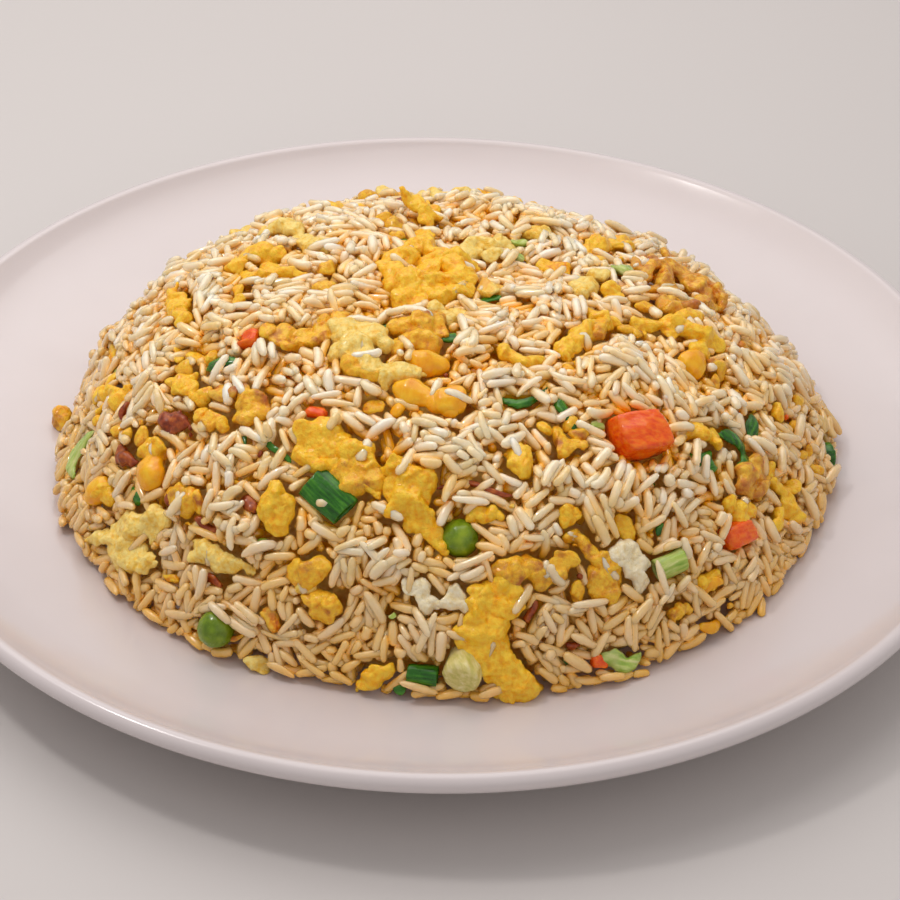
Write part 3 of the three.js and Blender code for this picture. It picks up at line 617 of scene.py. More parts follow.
# Soft lumps that the egg is made of, each as the column, row and radius of a round patch of
# the photo. Those under a node's name join that node; the others are further egg.
PATCHES = {
    "corn_mid_left": "409 391 10, 423 397 11, 438 404 11, 450 410 9",
    "corn_top": "413 363 7, 427 361 10, 437 366 11",
    "corn_left": "153 465 11, 153 480 11",
    "egg_curd": """
    345 334 13, 360 330 12, 375 338 15, 388 348 9, 350 350 13, 335 352 9, 385 380 9,
    400 370 11, 412 374 8""",
    "egg_behind_corn": "405 328 12, 420 328 14, 437 328 11, 410 343 12, 425 344 12, 398 350 8",
    "egg_band_left": """
    270 334 6, 285 334 8, 300 335 10, 315 334 10, 328 327 9, 342 320 8, 295 345 9, 310 343 9""",
    "egg_three_lobes": """
    312 437 14, 327 430 12, 337 442 11, 322 447 10, 299 457 8, 311 463 8, 325 464 9,
    352 455 12, 362 452 9, 345 466 9""",
    "egg_centre_tail": """
    402 465 8, 386 473 8, 415 473 11, 388 490 8, 404 481 12, 425 480 10, 400 500 11, 394 512 8,
    420 496 12, 426 510 8, 411 520 9, 424 526 7, 432 533 6, 438 541 5, 443 549 3.5""",
    "egg_swirl": """
    390 265 12, 405 262 10, 430 272 10, 445 266 8, 398 285 13, 425 285 15, 450 285 12,
    465 291 8, 440 298 12, 418 304 10, 403 300 11""",
    "egg_top_flake": "415 203 5, 428 206 6, 436 210 5, 425 213 5, 411 207 4",
    "egg_left_ring": """
    238 270 8, 250 260 9, 262 257 10, 275 257 8, 262 279 7, 248 281 6, 275 275 8, 290 277 10,
    301 277 7""",
    "egg_left_spike": "180 308 10, 174 300 7, 186 320 8, 172 318 6",
    "egg_left_yellow": "113 383 6, 103 396 8, 118 397 10, 126 391 6, 103 412 5, 100 425 4",
    "egg_left_fluff": "172 384 6, 188 390 8, 197 398 8, 205 391 6",
    "egg_golden_lump": "250 404 13, 245 415 9, 256 412 9",
    "egg_wrinkled": """
    86 527 3.5, 95 526 4, 104 529 4, 113 536 5, 128 521 8, 140 520 7, 152 519 9, 160 526 8,
    150 533 8, 125 546 12, 137 552 10, 118 540 7, 130 533 8""",
    "egg_orange_left": "199 553 6, 210 557 7, 221 561 9, 232 566 7, 243 570 5, 250 572 4",
    "egg_yellow_block": "518 460 13, 512 453 8, 525 468 9, 533 451 4",
    "egg_right_long": "570 345 8, 578 340 7, 590 335 7, 566 358 7, 572 370 5, 560 350 6",
    "egg_front_hook": """
    478 590 9, 491 592 9, 504 587 8, 516 593 9, 470 602 8, 482 616 13, 500 610 13, 515 605 9,
    476 634 12, 496 630 13, 482 650 12, 499 648 10, 487 662 9, 501 667 11, 510 679 12,
    526 680 11, 535 673 8""",
    "egg_crisp_back": """
    640 268 7, 652 260 7, 665 260 7, 678 266 8, 714 297 6, 705 305 8, 690 308 8, 675 308 8,
    662 303 7, 655 290 7, 665 285 8, 672 275 8, 645 275 6""",
    "egg_right_big": """
    672 335 7, 690 330 9, 705 335 10, 700 350 10, 715 345 7, 680 322 7, 668 322 6""",
    "egg_back_pair": "590 250 8, 600 248 7, 596 258 6, 612 242 6, 622 242 7",
    "egg_right_strip": """
    575 535 6, 584 543 5, 593 552 5, 602 560 6, 610 568 7, 600 578 9, 612 580 8, 592 577 7,
    605 590 6""",
    "egg_mid_gold": "565 445 11, 558 437 8, 572 422 6, 585 435 7",
    "egg_strands": "775 485 8, 790 488 8, 783 495 7, 785 510 8, 793 518 7, 778 520 7",
    "egg_browned": "745 475 9, 755 468 8, 750 488 8, 760 478 7",
    "egg_back_crumble": "455 262 8, 470 254 9, 484 246 8, 500 246 10, 512 250 6, 490 258 7",
    "egg_back_left": "275 232 5, 291 226 5, 296 237 5",
    "egg_bits_yellow": """
    425 234 7, 420 250 11, 409 246 8, 437 258 8, 505 356 7, 516 358 7, 526 362 8, 533 361 6,
    182 355 6, 195 356 6, 208 358 6, 148 447 9, 160 449 9, 152 456 8, 103 491 11, 95 497 8,
    110 500 6, 238 290 7, 240 303 7, 545 430 5, 595 320 8, 605 325 9, 615 325 8, 590 315 6,
    580 335 8, 612 290 8, 618 298 7, 608 300 6, 622 525 7, 626 533 6, 570 518 8, 690 430 6,
    700 432 8, 710 433 6, 683 436 5, 715 442 5, 728 508 7, 740 512 9, 748 512 7, 740 518 7,
    712 580 9, 704 584 7, 770 470 6, 778 414 6, 794 427 5, 480 513 7, 470 520 5, 490 515 6,
    500 518 4""",
    "egg_bits_gold": """
    352 365 12, 370 372 11, 345 475 12, 362 470 12, 375 482 10, 355 488 10, 325 272 8,
    325 288 9, 395 225 9, 385 222 6, 398 234 6, 210 422 10, 200 415 8, 222 428 8, 292 572 9,
    305 575 9, 315 570 8, 315 600 10, 330 605 10, 320 615 9, 515 572 13, 530 565 10, 500 570 8,
    540 578 8, 555 570 9, 565 560 9, 575 590 8, 175 492 9, 188 498 10, 200 503 8, 180 506 8,
    185 372 7, 712 368 7, 722 375 7, 716 384 5, 600 335 9, 590 337 7, 645 312 6, 652 311 5,
    680 613 7, 672 618 6, 688 610 5, 794 403 8, 817 475 5, 818 484 5, 812 470 4, 800 455 4,
    808 456 4, 790 455 3, 625 333 5, 635 335 5, 645 333 5, 63 423 10, 70 427 7, 120 430 5,
    130 434 6, 140 438 6""",
    "egg_bits_pale": """
    440 312 8, 450 318 8, 460 314 7, 262 235 6, 320 250 12, 308 245 8, 298 582 7, 310 585 6,
    585 285 11, 595 275 9, 580 295 8, 258 652 7, 258 661 8""",
    "egg_bits_white": """
    455 590 8, 450 598 8, 460 605 6, 412 592 6, 425 590 7, 425 603 8, 435 602 5, 620 555 11,
    632 548 9, 640 560 9, 630 570 10, 640 580 8""",
}
MASSES = {node: tuple(map(lump, picks.split(","))) for node, picks in PATCHES.items()}


def rear_masses(clusters, seed):
    """Ragged clusters of egg for the back of the heap, which the photo doesn't show."""
    rng = np.random.default_rng(seed)
    rows = []
    for _ in range(clusters):
        x, y, turn = rng.uniform(-55, 58), rng.uniform(42, 72), rng.uniform(0, 2 * math.pi)
        for _ in range(rng.integers(3, 9)):
            rows.append((x, y, rng.uniform(1.3, 2.6)))
            turn += rng.normal(0, 0.8)
            x, y = x + 3 * math.cos(turn), max(y + 3 * math.sin(turn), 40)
    return tuple(rows)


MASSES["egg_bits_yellow"] += rear_masses(7, 4)
MASSES["egg_bits_gold"] += rear_masses(5, 5)
MASSES["egg_bits_pale"] += rear_masses(3, 6)

obstacles = []              # points of what the rice has to lie round

for node in sorted({*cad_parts, *MASSES}):
    family = node.split("_")[0]
    if family not in FAMILY:
        continue
    rough = shape_of(node, MASSES.get(node, ()))
    points, faces, relief = remade(rough, *FAMILY[family])
    look = LOOK_OF.get(node, family)
    piece = add_mesh(node + "_cooked", points, faces, LOOK[look], {"relief": relief})
    add_own(piece, own_axes(points))
    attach(piece, "root")
    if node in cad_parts:
        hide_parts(node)
    SLOT_OF.get(look, look)
    obstacles.append(points)

# ---------------- small pieces

# How each kind is made: its look, thickness and least thickness, corner power, roughness.
CRUMBS = {
    "egg": ("egg", 0.6, 1.3, 2.2, 0.30),
    "pale": ("pale_egg", 0.5, 1.4, 2.2, 0.30),
    "gold": ("fried_egg", 0.5, 1.2, 2.4, 0.30),
    "brown": ("crisp_egg", 0.6, 1.2, 2.4, 0.40),
    "sausage": ("sausage", 0.8, 1.0, 2.8, 0.34),
    "leaf": ("scallion", 0.3, 0.5, 3.0, 0.16),
    "green": ("light_scallion", 0.5, 0.8, 3.0, 0.14),
    "carrot": ("carrot", 0.8, 1.4, 4.0, 0.10),
    "corn": ("corn", 0.7, 1.5, 2.4, 0.12),
    "pea": ("pea", 1.0, 2.0, 2.0, 0.06),
}

# The ones that stand out: kind, column and row in the photo, length and width in mm, and
# heading in degrees.
STANDING_OUT = """
    sausage 376.5 213.5 8 2.2 -59, leaf 403 237.5 2.2 2.4 -28, carrot 239.5 318 4 1.9 92,
    carrot 251 338 4.6 4.1 -18, egg 555 267 7.5 5.5 -6, pale 535 232 7.3 7 17,
    carrot 532.5 234 2.2 2.5 14, sausage 125.5 409 4.1 2 -130, brown 224 389 7.5 3.7 -20,
    sausage 250 501 4.9 2.9 -36, sausage 172.5 498 3.7 1.7 -53, sausage 207 522 5.6 1.9 -35,
    leaf 136 493 4.6 2.2 -46, pea 264 540.5 2.9 2.7 -88, leaf 276.5 445 8.7 1.5 -67,
    carrot 316.5 410 4.5 2.8 -34, gold 373.5 404 4.9 3.2 -22, corn 398 407.5 3.4 3.1 16,
    corn 456.5 391.5 5.3 3.4 -53, sausage 472 484.5 12.8 1.3 -3,
    leaf 661.5 526.5 3.2 2.1 18, sausage 213 577.5 5.5 1.7 -20, egg 172 575.5 4.6 1.7 -29,
    gold 231.5 632 5.8 1.3 7, brown 272.5 616.5 5.3 2.7 -70, sausage 531 607 5.3 1.7 -88,
    sausage 557 561 1.6 1.1 2, sausage 580.5 573 1.5 1.1 2, carrot 598 657 3.6 3.2 19,
    leaf 570.5 658.5 3.5 2.5 3, sausage 572.5 642 2.6 1.7 -14, leaf 399 685.5 2.7 2.1 -16,
    leaf 383 323 5.9 3.8 16, leaf 449.5 335 5 3.2 -2, pale 490 288 7.9 6.6 40,
    leaf 489 296.5 5.8 2 30, green 622.5 269 6.8 4.8 -52, green 519.5 239.5 3.8 2.8 45,
    green 518.5 256 2.9 2.8 -22, leaf 740 324 1.9 1.8 31, green 598 422 3.4 2 25,
    leaf 703.5 457.5 8.3 4.6 36, brown 741.5 345.5 3.6 3.4 -31, corn 711 581 5.9 2.9 37,
    corn 710 622 5.5 2.6 31, egg 112.5 357 12.1 2.8 -64, leaf 243 433.5 3.9 1.1 -66"""


def placed():
    """The small pieces that stand out, with their places (x, y) on the heap to 0.1 mm."""
    for pick in STANDING_OUT.split(","):
        kind, column, row, *sizes = pick.split()
        place, _ = seen_at(float(column), float(row), SMALL_SHOWS)
        x, y = (round(float(v), 1) for v in place[:2])
        yield (kind, x, y, *map(float, sizes))


random = np.random.default_rng(41)
SCATTERED = 130
FURTHEST_OUT = 0.985        # of the way to the heap's foot
HIDDEN_BEHIND = 38          # mm, y of what the photo doesn't show
TILT = 14                   # degrees at most


def frame_at(x, y, heading, tilt=0.0):
    """A place on the heap and its axes: along the heading, across it, and outward."""
    place = np.array([x, y, float(heap_top(x, y))])
    normal = heap_normal(np.array(x), np.array(y))
    turn = math.radians(heading)
    flat = np.array([math.cos(turn), math.sin(turn), 0.0])
    across = unit(np.cross(normal, flat))
    along = np.cross(across, normal)
    lift = math.radians(tilt)
    raised = math.cos(lift) * along + math.sin(lift) * normal
    return place, np.array([raised, across, np.cross(raised, across)])


def crumb(kind, x, y, length, width, heading, tilt=0.0):
    """One small piece: points in the row frame, its own points and its relief."""
    _, thick, least, power, rough = CRUMBS[kind]
    depth = max(least, thick * width)
    seed = int(abs(x * 17 + y * 29) * 7) % 9973
    sphere, faces = BALLS[3 if length > 8 else 2]
    shape = sphere / (np.abs(sphere) ** power).sum(1, keepdims=True) ** (1 / power)
    lumps = noise(sphere, 0.9, seed) + 0.5 * noise(sphere, 0.4, seed + 1)
    shape = shape * (1 + rough * lumps[:, None])
    own = shape * np.array([length, width, depth]) / 2
    own[:, 1] += 0.1 * length * np.sin(2.2 * shape[:, 0] + seed)
    own[:, 2] += 0.25 * width * noise(own * (1, 1, 0.2), 2.4, seed + 2)
    place, axes = frame_at(x, y, heading, tilt)
    rise = 0.25 * depth - 0.2
    points = place + own @ axes + rise * axes[2]
    return points, own, 0.5 + 0.4 * lumps, faces


def scattered():
    """Further small pieces all over, denser at the back, where none are placed."""
    kinds = ("egg", "gold", "pale", "leaf", "green", "sausage", "carrot", "brown")
    share = (0.36, 0.14, 0.08, 0.10, 0.05, 0.13, 0.08, 0.06)
    rows = []
    while len(rows) < SCATTERED:
        angle = random.uniform(0, 2 * math.pi)
        out = math.sqrt(random.uniform(0, 1)) * FURTHEST_OUT
        x = HEAP_X + out * foot_radius(angle) * math.cos(angle)
        y = HEAP_Y + out * foot_radius(angle) * math.sin(angle)
        hidden = y > HIDDEN_BEHIND
        kind = random.choice(kinds, p=share)
        size = random.uniform(2.0, 7.0) if hidden else random.uniform(0.9, 2.0)
        slim = random.uniform(0.35, 0.8)
        if hidden or random.uniform() < 0.5:
            rows.append((str(kind), x, y, size, size * slim, random.uniform(0, 360)))
    return rows


def build_crumbs():
    made = {kind: [] for kind in CRUMBS}
    for row in (*placed(), *scattered()):
        made[row[0]].append(crumb(*row, tilt=random.uniform(-TILT, TILT)))
    for kind, several in made.items():
        look = CRUMBS[kind][0]
        points, faces = joined([(m[0], m[3]) for m in several])
        relief = np.concatenate([m[2] for m in several])
        piece = add_mesh("crumbs_" + kind, points, faces, LOOK[look], {"relief": relief})
        add_own(piece, np.concatenate([m[1] for m in several]))
        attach(piece, "root")
        SLOT_OF.get(look, look)
        obstacles.extend(m[0] for m in several)


build_crumbs()

# ---------------- rice

# Grains fall towards one point under the plate. A map keeps, for each direction from that
# point, how far out the surface of the heap has come.
AIM = np.array([HEAP_X, HEAP_Y, -30.0])
CELL = 0.35
ARC = 95.0                  # mm on the map for one radian
MAP_HALF = 118.0
MAP_SIDE = int(2 * MAP_HALF / CELL)
PLATE, RICE, TOPPING = 0, 1, 2
STATIONS = np.array([-0.84, -0.45, 0.0, 0.45, 0.84])
BLUNT = 5.0                 # of a usual grain's ends
SINK = 1.15                 # soft grains press into each other
PRESS = 1.1                 # and further into the soft edges of the toppings
INNERMOST, OUTERMOST = 35.0, 190.0  # of the heap's surface, from the aim
SECOND_TRIES = 6            # closer tries round the best first one
TOPPING_COST = 6            # mm that a grain has to lie lower to be laid on a topping
BROKEN = 0.17               # share of short, broken grains
CHAIN, STICKS = 6, 0.8      # most grains side by side, and how often the next one sticks
ON_TOPPING, REFUSED = 0.35, 0.88    # share on a topping, and how often that is refused
STREWN, STREWN_OVER = 150, 4.0      # grains laid on the toppings, and mm over the ceiling
HIDDEN_CELLS = 3            # a grain that shows on no more cells of the map is left out


def map_place(points):
    """Cells of the map over points that are given from the aim."""
    flat = np.hypot(points[..., 0], points[..., 1])
    turn = np.arctan2(flat, points[..., 2]) / np.maximum(flat, 1e-9) * ARC
    column = ((points[..., 0] * turn + MAP_HALF) / CELL).astype(int)
    row = ((points[..., 1] * turn + MAP_HALF) / CELL).astype(int)
    return np.clip(row, 0, MAP_SIDE - 1), np.clip(column, 0, MAP_SIDE - 1)


def map_directions():
    line = (np.arange(MAP_SIDE) + 0.5) * CELL - MAP_HALF
    u, v = np.meshgrid(line, line)
    reach = np.maximum(np.hypot(u, v), 1e-9)
    angle = reach / ARC
    return np.stack([np.sin(angle) * u / reach, np.sin(angle) * v / reach, np.cos(angle)], -1)


def ray_distance(surface, directions):
    """How far from the aim each direction meets a surface z = surface(x, y)."""
    near = np.full(directions.shape[:-1], INNERMOST)
    far = np.full(directions.shape[:-1], OUTERMOST)
    for _ in range(14):
        middle = (near + far) / 2
        at = AIM + middle[..., None] * directions
        outside = at[..., 2] > surface(at[..., 0], at[..., 1])
        far = np.where(outside, middle, far)
        near = np.where(outside, near, middle)
    return (near + far) / 2


def core_surface(x, y):
    inside = heap_top(x, y, 1.0, COVER) - COVER
    return np.maximum(np.where(heap_spread(x, y) < 0.95, inside, -9), well(np.hypot(x, y)))


def blurred(values, radius):
    """Mean over a square of that half side, in cells."""
    for axis in (0, 1):
        total = np.cumsum(np.insert(values, 0, 0.0, axis=axis), axis=axis)
        count = values.shape[axis]
        high = np.minimum(np.arange(count) + radius + 1, count)
        low = np.maximum(np.arange(count) - radius, 0)
        spread = (high - low).reshape((-1, 1) if axis == 0 else (1, -1))
        values = (np.take(total, high, axis) - np.take(total, low, axis)) / spread
    return values


WAYS = map_directions()
outline = ray_distance(whole_surface, WAYS)
level = ray_distance(core_surface, WAYS)
kind_at = np.full(level.shape, PLATE, np.int8)
owner = np.full(level.shape, -1, np.int32)


def lay_on_map(points):
    """Raises the map over a topping's points."""
    local = points - AIM
    row, column = map_place(local)
    reach = np.linalg.norm(local, axis=-1)
    before = level.copy()
    for i, j in ((0, 0), (0, 1), (1, 0), (1, 1)):
        np.maximum.at(level, (np.minimum(row + i, MAP_SIDE - 1),
                              np.minimum(column + j, MAP_SIDE - 1)), reach)
    kind_at[level > before] = TOPPING


for centres in obstacles:
    lay_on_map(centres)

surface_points = AIM + outline[..., None] * WAYS
covered = np.minimum(2.5 * blurred((kind_at == TOPPING).astype(float), 11), 1)
clumps = (5.0 * bumps(surface_points, 10.0, 5) - 3.0 + 2.4 * noise(surface_points, 15.0, 5)
          + 0.9 * noise(surface_points, 3.6, 8))
clumps = np.maximum(clumps, -3.6) * (1 - 0.8 * covered)
spread_at = heap_spread(surface_points[..., 0], surface_points[..., 1])
ceiling = outline + 0.4 + clumps * np.clip((1.04 - spread_at) * 5, 0.2, 1)


def grain_profile(place, blunt):
    return (1 - np.abs(place) ** blunt) ** 0.5 * (1 - 0.14 * place ** 2)


STATION_PROFILE = grain_profile(STATIONS, BLUNT)


def lay(start, way, normal, headings, tilts, rolls, shifts, length, width, bend):
    """How far each candidate may fall before it touches, and how it then lies."""
    side, other = level_axes(normal)
    flat_way = np.cos(headings)[:, None] * side + np.sin(headings)[:, None] * other
    along = np.cos(tilts)[:, None] * flat_way + np.sin(tilts)[:, None] * normal
    across = cross(normal, flat_way)
    out = cross(along, across)
    bent = np.cos(rolls)[:, None] * across + np.sin(rolls)[:, None] * out
    middle = start + shifts[:, :1] * side + shifts[:, 1:] * other
    axis = (middle[:, None] + (0.5 * length * STATIONS)[:, None] * along[:, None]
            + (0.5 * length * bend * (1 - STATIONS ** 2))[:, None] * bent[:, None])
    radius = 0.5 * width * STATION_PROFILE
    across_way = unit(cross(along, way))
    below = np.concatenate([
        axis + (radius[:, None] * w) * across_way[:, None]
        - (radius[:, None] * math.sqrt(1 - w * w)) * way for w in (-0.7, 0.0, 0.7)], 1)
    row, column = map_place(below)
    topping = kind_at[row, column] == TOPPING
    room = np.linalg.norm(below, axis=-1) - level[row, column] + PRESS * topping
    flat_room = (axis[..., 2] + AIM[2] - radius - 0.1
                 - well(np.hypot(axis[..., 0] + AIM[0], axis[..., 1] + AIM[1])))
    down = np.minimum(room.min(1) + SINK, flat_room.min(1) / max(way[2], 0.2))
    return down, topping.mean(1), along, bent, axis, middle


def level_axes(normal):
    """Two directions along a surface with that normal."""
    flat = np.array([1.0, 0.0, 0.0]) if abs(normal[0]) < 0.7 else np.array([0.0, 1.0, 0.0])
    side = unit(cross(normal, flat))
    return side, cross(normal, side)


def heading_of(along, normal):
    side, other = level_axes(normal)
    return along @ other, along @ side


def settle(start, way, normal, wild, first, size, beside, rng):
    """Tries a grain in many ways and keeps one of those that lie lowest."""
    length = size * GRAIN_LENGTH * rng.normal(1, 0.14)
    if rng.uniform() < BROKEN:
        length *= rng.uniform(0.4, 0.75)
    width = GRAIN_WIDTH * rng.normal(1, 0.1)
    bend = abs(rng.normal(0.08, 0.1))
    headings = rng.uniform(0, 2 * math.pi, first)
    tilts = np.arcsin(np.clip(rng.normal(0, wild, first), -0.92, 0.92))
    if beside is not None:
        headings = np.arctan2(*heading_of(beside, normal)) + rng.normal(0, 0.2, first)
        tilts = math.asin(np.clip(beside @ normal, -0.9, 0.9)) + rng.normal(0, 0.2, first)
    rolls = rng.uniform(0, 2 * math.pi, first)
    shifts = rng.uniform(-1.1, 1.1, (first, 2))
    down, share, *_ = lay(
        start, way, normal, headings, tilts, rolls, shifts, length, width, bend)
    best = int((down - TOPPING_COST * share + rng.normal(0, 0.8, first)).argmax())
    headings = headings[best] + rng.normal(0, 0.2, SECOND_TRIES)
    tilts = tilts[best] + rng.normal(0, 0.14, SECOND_TRIES)
    rolls = np.full(SECOND_TRIES, rolls[best])
    shifts = shifts[best] + rng.normal(0, 0.35, (SECOND_TRIES, 2))
    down, on_topping, along, bent, axis, middle = lay(
        start, way, normal, headings, tilts, rolls, shifts, length, width, bend)
    best = int((down - TOPPING_COST * on_topping).argmax())
    drop = -down[best] * way
    return (axis[best] + drop, middle[best] + drop, along[best], bent[best],
            length, width, bend, on_topping[best])


FINE = np.linspace(-0.94, 0.94, 9)


def raise_map(way, middle, along, bent, length, width, bend, index):
    """Puts a grain into the map as nine balls."""
    centres = (middle + (0.5 * length * FINE)[:, None] * along
               + (0.5 * length * bend * (1 - FINE ** 2))[:, None] * bent)
    radii = 0.5 * width * grain_profile(FINE, BLUNT)
    row, column = map_place(middle[None])
    half = int((0.5 * length + 1.2) / CELL * 1.1)
    rows = slice(max(row[0] - half, 0), row[0] + half + 1)
    columns = slice(max(column[0] - half, 0), column[0] + half + 1)
    rays = WAYS[rows, columns]
    far = np.linalg.norm(middle)
    gap = rays * far
    heights = centres @ way
    flat_gap = gap - (gap @ way)[..., None] * way
    flat_centres = centres - heights[:, None] * way
    distance = ((flat_gap[None] - flat_centres[:, None, None]) ** 2).sum(-1)
    rise = radii[:, None, None] ** 2 - distance
    tops = np.where(rise > 0, heights[:, None, None] + np.sqrt(np.maximum(rise, 0)), 0).max(0)
    higher = tops > level[rows, columns]
    level[rows, columns][higher] = tops[higher]
    kind_at[rows, columns][higher] = RICE
    owner[rows, columns][higher] = index


grains = []                 # (middle, along, bent, length, width, bend, blunt)


def start_at(row, column):
    """Where a grain starts to fall, the way up from the aim and the heap's normal."""
    way = WAYS[row, column]
    place = surface_points[row, column]
    normal = heap_normal(place[:1], place[1:2])[0]
    return (level[row, column] + 1.0) * way, way, normal


def excess_of(axis, width):
    """How far a grain would stand out over the ceiling."""
    top = np.linalg.norm(axis, axis=-1) + 0.5 * width * STATION_PROFILE
    return (top - ceiling[map_place(axis)]).max()


def keep_grain(way, grain, rng):
    raise_map(way, *grain, len(grains))
    grains.append((*grain, rng.uniform(4.5, 10.0)))


def strew(wild, tries, rng):
    """Lays single grains on the toppings."""
    for cell in rng.choice(np.flatnonzero(kind_at == TOPPING), STREWN, replace=False):
        start, way, normal = start_at(*np.unravel_index(cell, level.shape))
        axis, *grain, _ = settle(start, way, normal, wild, tries, 1.0, None, rng)
        width = grain[4]
        if excess_of(axis, width) < STREWN_OVER:
            keep_grain(way, grain, rng)


def drop_grains(count, wild, tries, over, missing, size, rng):
    """Drops grains where that much is missing under the ceiling, and keeps what fits."""
    lacking = blurred(ceiling + over - level, 2)
    lacking[spread_at > 1.0] = 0
    open_cells = np.flatnonzero(lacking > missing)
    for cell in rng.choice(open_cells, min(count, len(open_cells)), replace=False):
        row, column = np.unravel_index(cell, level.shape)
        beside = None
        for _ in range(CHAIN):
            if ceiling[row, column] + over - level[row, column] < missing:
                break
            start, way, normal = start_at(row, column)
            axis, *grain, share = settle(start, way, normal, wild, tries, size, beside, rng)
            middle, along, _, length, width, _ = grain
            if excess_of(axis, width) > over or (
                    share > ON_TOPPING and rng.uniform() < REFUSED):
                break
            keep_grain(way, grain, rng)
            # Often the next one sticks to this one's side.
            if rng.uniform() > STICKS:
                break
            beside = along
            aside = rng.choice((-1, 1)) * 0.8 * width * unit(cross(along, normal))
            row, column = (int(v) for v in map_place(
                middle + aside + 0.15 * length * rng.normal() * along))


def grain_meshes(chosen, rng):
    """Grains from one lathe, each bent, tapered, flattened and turned."""
    sides = 7
    rings = np.array([-0.97, -0.8, -0.3, 0.3, 0.8, 0.97])
    turns = np.arange(sides) * (2 * math.pi / sides)
    count = len(chosen)
    middle, along, bent = (np.array([g[i] for g in chosen]) for i in range(3))
    length, width, bend, blunt = (np.array([g[i] for g in chosen]) for i in range(3, 7))
    third = np.cross(along, bent)
    t = np.concatenate([[-1.0], np.repeat(rings, sides), [1.0]])
    a = np.concatenate([[0.0], np.tile(turns, len(rings)), [0.0]])
    profile = grain_profile(t, blunt[:, None])
    taper = 1 + rng.normal(0, 0.09, (count, 1)) * t
    waist = 1 + rng.normal(0, 0.05, (count, 1)) * np.cos(
        4 * t + rng.uniform(0, 6, (count, 1)))
    uneven = 1 + rng.normal(0, 0.045, (count, len(t)))
    flat = rng.uniform(0.78, 0.95, (count, 1))
    radius = 0.5 * width[:, None] * profile * taper * waist * uneven
    u = 0.5 * length[:, None] * t
    v = radius * np.cos(a) + 0.5 * (length * bend)[:, None] * (1 - t ** 2)
    w = radius * np.sin(a) * flat
    points = (middle[:, None] + u[..., None] * along[:, None] + v[..., None] * bent[:, None]
              + w[..., None] * third[:, None])
    faces, corners = [], []
    stops = np.concatenate([[0.0], (rings + 1) / 2, [1.0]])
    for i in range(sides):
        j, left, right = (i + 1) % sides, i / sides, (i + 1) / sides
        faces.append((0, 1 + j, 1 + i))
        corners.append(((left, stops[0]), (right, stops[1]), (left, stops[1])))
        for ring in range(len(rings) - 1):
            p, q = 1 + ring * sides, 1 + (ring + 1) * sides
            low, high = stops[ring + 1], stops[ring + 2]
            faces += [(p + i, p + j, q + j), (p + i, q + j, q + i)]
            corners += [((left, low), (right, low), (right, high)),
                        ((left, low), (right, high), (left, high))]
        last = 1 + (len(rings) - 1) * sides
        faces.append((last + i, last + j, len(t) - 1))
        corners.append(((left, stops[-2]), (right, stops[-2]), (left, stops[-1])))
    return points, np.array(faces), np.array(corners)


def unwrap(piece, corners, count):
    """A map for the piece's textures with a square for each grain."""
    across = math.ceil(math.sqrt(count))
    cells = np.arange(count)
    starts = np.stack([cells % across, cells // across], -1)
    places = (starts[:, None, None] + 0.06 + 0.88 * corners) / across
    layer = piece.data.uv_layers.new(name="OFBake")
    layer.data.foreach_set("uv", places.astype(np.float32).ravel())


# Grains dropped in turn: how many, how wild they lie, tries, how far over the ceiling they
# may stand, what has to be missing under it, and their size.
PASSES = (
    (9000, 0.45, 5, 0.0, 1.5, 1.0), (9000, 0.50, 7, 0.3, 1.2, 1.0),
    (8000, 0.50, 10, 0.8, 1.0, 1.0), (6000, 0.50, 10, 1.2, 0.9, 1.0),
    (5000, 0.45, 12, 1.0, 0.9, 0.75), (4000, 0.45, 12, 1.0, 0.9, 0.5),
    (900, 0.85, 4, 2.8, 0.3, 1.0))


def build_rice():
    rng = np.random.default_rng(7)
    for grain_pass in PASSES:
        drop_grains(*grain_pass, rng)
    strew(0.4, 8, rng)
    seen = np.bincount(owner[owner >= 0], minlength=len(grains))
    soft_level = blurred(blurred(level, 16), 9)
    chosen = [g for i, g in enumerate(grains) if seen[i] > HIDDEN_CELLS]
    points, faces, corners = grain_meshes(chosen, rng)
    row, column = map_place(points)
    # Painted crevice shade: how deep each point lies under the smoothed surface, weaker near the
    # foot.
    crevice_shade = (soft_level[row, column] - np.linalg.norm(points, axis=-1)) / 3.0
    crevice_shade *= np.clip((1.03 - spread_at[row, column]) * 5, 0.1, 1)
    tone = np.clip(rng.normal(0.58, 0.26, len(points)), 0, 1)
    groups = np.array_split(rng.permutation(len(points)), 5)
    for name, group in zip("abcde", groups):
        size = points.shape[1]
        all_faces = (faces[None] + (np.arange(len(group)) * size)[:, None, None]).reshape(-1, 3)
        piece = add_mesh("rice_" + name, points[group].reshape(-1, 3) + AIM, all_faces,
                         LOOK["rice"], {"crevice_shade": crevice_shade[group].ravel(),
                                        "tone": np.repeat(tone[group], size)})
        unwrap(piece, corners, len(group))
        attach(piece, "root")


def build_core():
    """The inside of the heap, with relief like grains where it might be glimpsed."""
    rings, sides = 60, 160
    out = np.sin(np.linspace(0, math.pi / 2, rings + 1))[1:]
    angles = np.arange(sides) * (2 * math.pi / sides)
    reach = foot_radius(angles) - COVER
    x = HEAP_X + (out[:, None] * reach * np.cos(angles)).ravel()
    y = HEAP_Y + (out[:, None] * reach * np.sin(angles)).ravel()
    z = heap_top(x, y, 1.0, COVER) - COVER
    floor = well(np.hypot(x, y)) + 0.4
    top = np.column_stack([x, y, np.maximum(z, floor)])
    relief = 0.6 * noise(top, 2.2, 2)
    top[:, 2] = np.maximum(top[:, 2] + relief, floor)
    under = np.column_stack([x[-sides:], y[-sides:], floor[-sides:] - 0.2])
    points = np.vstack([[HEAP_X, HEAP_Y, float(heap_top(HEAP_X, HEAP_Y, 1.0, COVER)) - COVER],
                        top, under, [HEAP_X, HEAP_Y, FLOOR + 0.3]])
    piece = add_mesh("rice_core", points, skin(rings + 1, sides), LOOK["core"])
    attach(piece, "root")
    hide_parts("rice_heap")


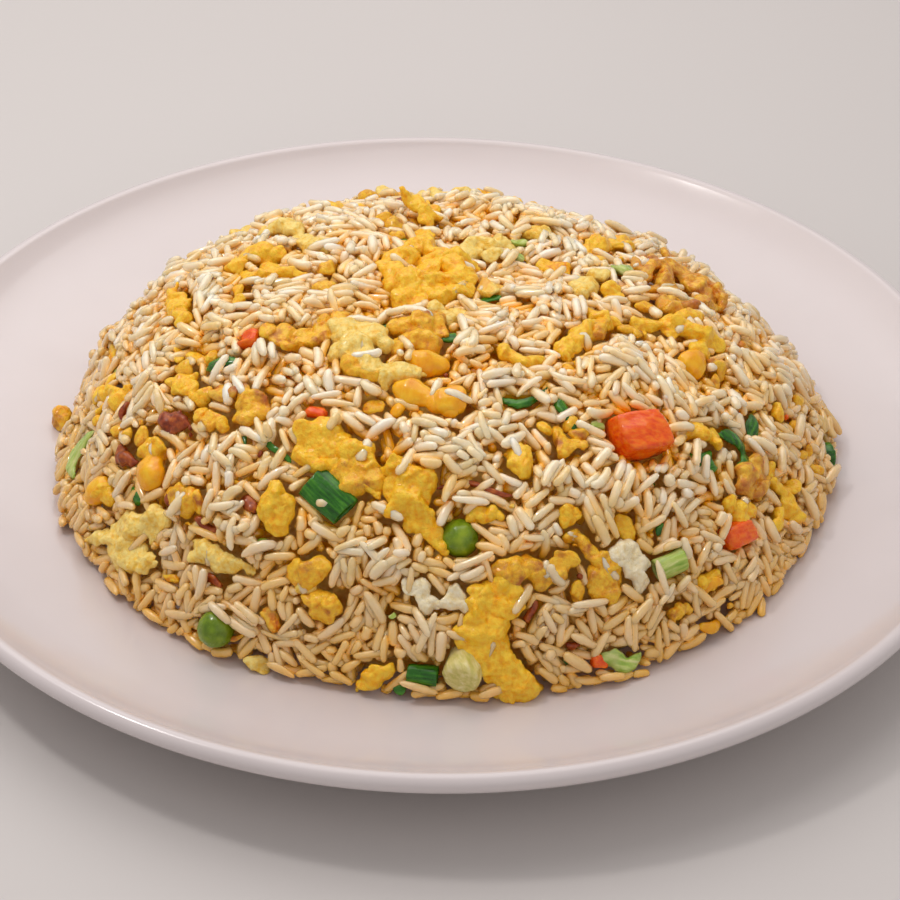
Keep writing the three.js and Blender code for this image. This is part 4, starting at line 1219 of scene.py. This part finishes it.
build_rice()
build_core()

# ---------------- floor, light and camera

LIT_PLACE = Vector((0, 0, 0.03))


def add_light(name, place, size, power, colour):
    light = bpy.data.lights.new(name, "AREA")
    light.shape = "DISK"
    light.size = size
    light.energy = power
    light.color = colour
    lamp = bpy.data.objects.new(name, light)
    lamp.location = place
    lamp.rotation_mode = "QUATERNION"
    way = LIT_PLACE - Vector(place)
    lamp.rotation_quaternion = way.to_track_quat("-Z", "Y")
    bpy.context.scene.collection.objects.link(lamp)


def build_studio():
    nodes = Nodes("floor")
    colour = nodes.ramp(nodes.noise(300), [(0.3, (0.60, 0.57, 0.55)), (0.7, (0.62, 0.59, 0.57))])
    half = 3000.0
    corners = [(-half, -half, 0), (half, -half, 0), (half, half, 0), (-half, half, 0)]
    floor = add_mesh("floor", np.array(corners, float) - (0, 0, 0.02), [(0, 1, 2, 3)],
                     nodes.dress(colour, 0.6))
    add_light("key", (-0.1, 0.28, 0.62), 0.8, 2.4, (1.0, 0.955, 0.945))
    add_light("spark", (-0.3, 0.05, 0.6), 0.07, 0.7, (1.0, 0.955, 0.94))
    add_light("fill", (0.5, -0.8, 0.7), 0.9, 0.5, (1.0, 0.95, 0.93))
    world = bpy.data.worlds.new("studio")
    world.use_nodes = True
    sky = world.node_tree.nodes["Background"]
    sky.inputs["Color"].default_value = (1.0, 0.955, 0.945, 1)
    sky.inputs["Strength"].default_value = 0.56
    bpy.context.scene.world = world
    bpy.context.scene.view_settings.view_transform = "Standard"


def build_camera():
    camera = bpy.data.cameras.new("camera")
    camera.sensor_width = SENSOR
    camera.lens = LENS
    camera.clip_start = 0.01
    eye = bpy.data.objects.new("camera", camera)
    forward = Vector(FORWARD)
    right = forward.cross(Vector(UP)).normalized()
    up = right.cross(forward)
    matrix = eye.matrix_world.to_3x3()
    matrix.col[0], matrix.col[1], matrix.col[2] = right, up, -forward
    eye.matrix_world = matrix.to_4x4()
    eye.location = EYE * MM
    bpy.context.scene.collection.objects.link(eye)
    bpy.context.scene.camera = eye


build_studio()
build_camera()
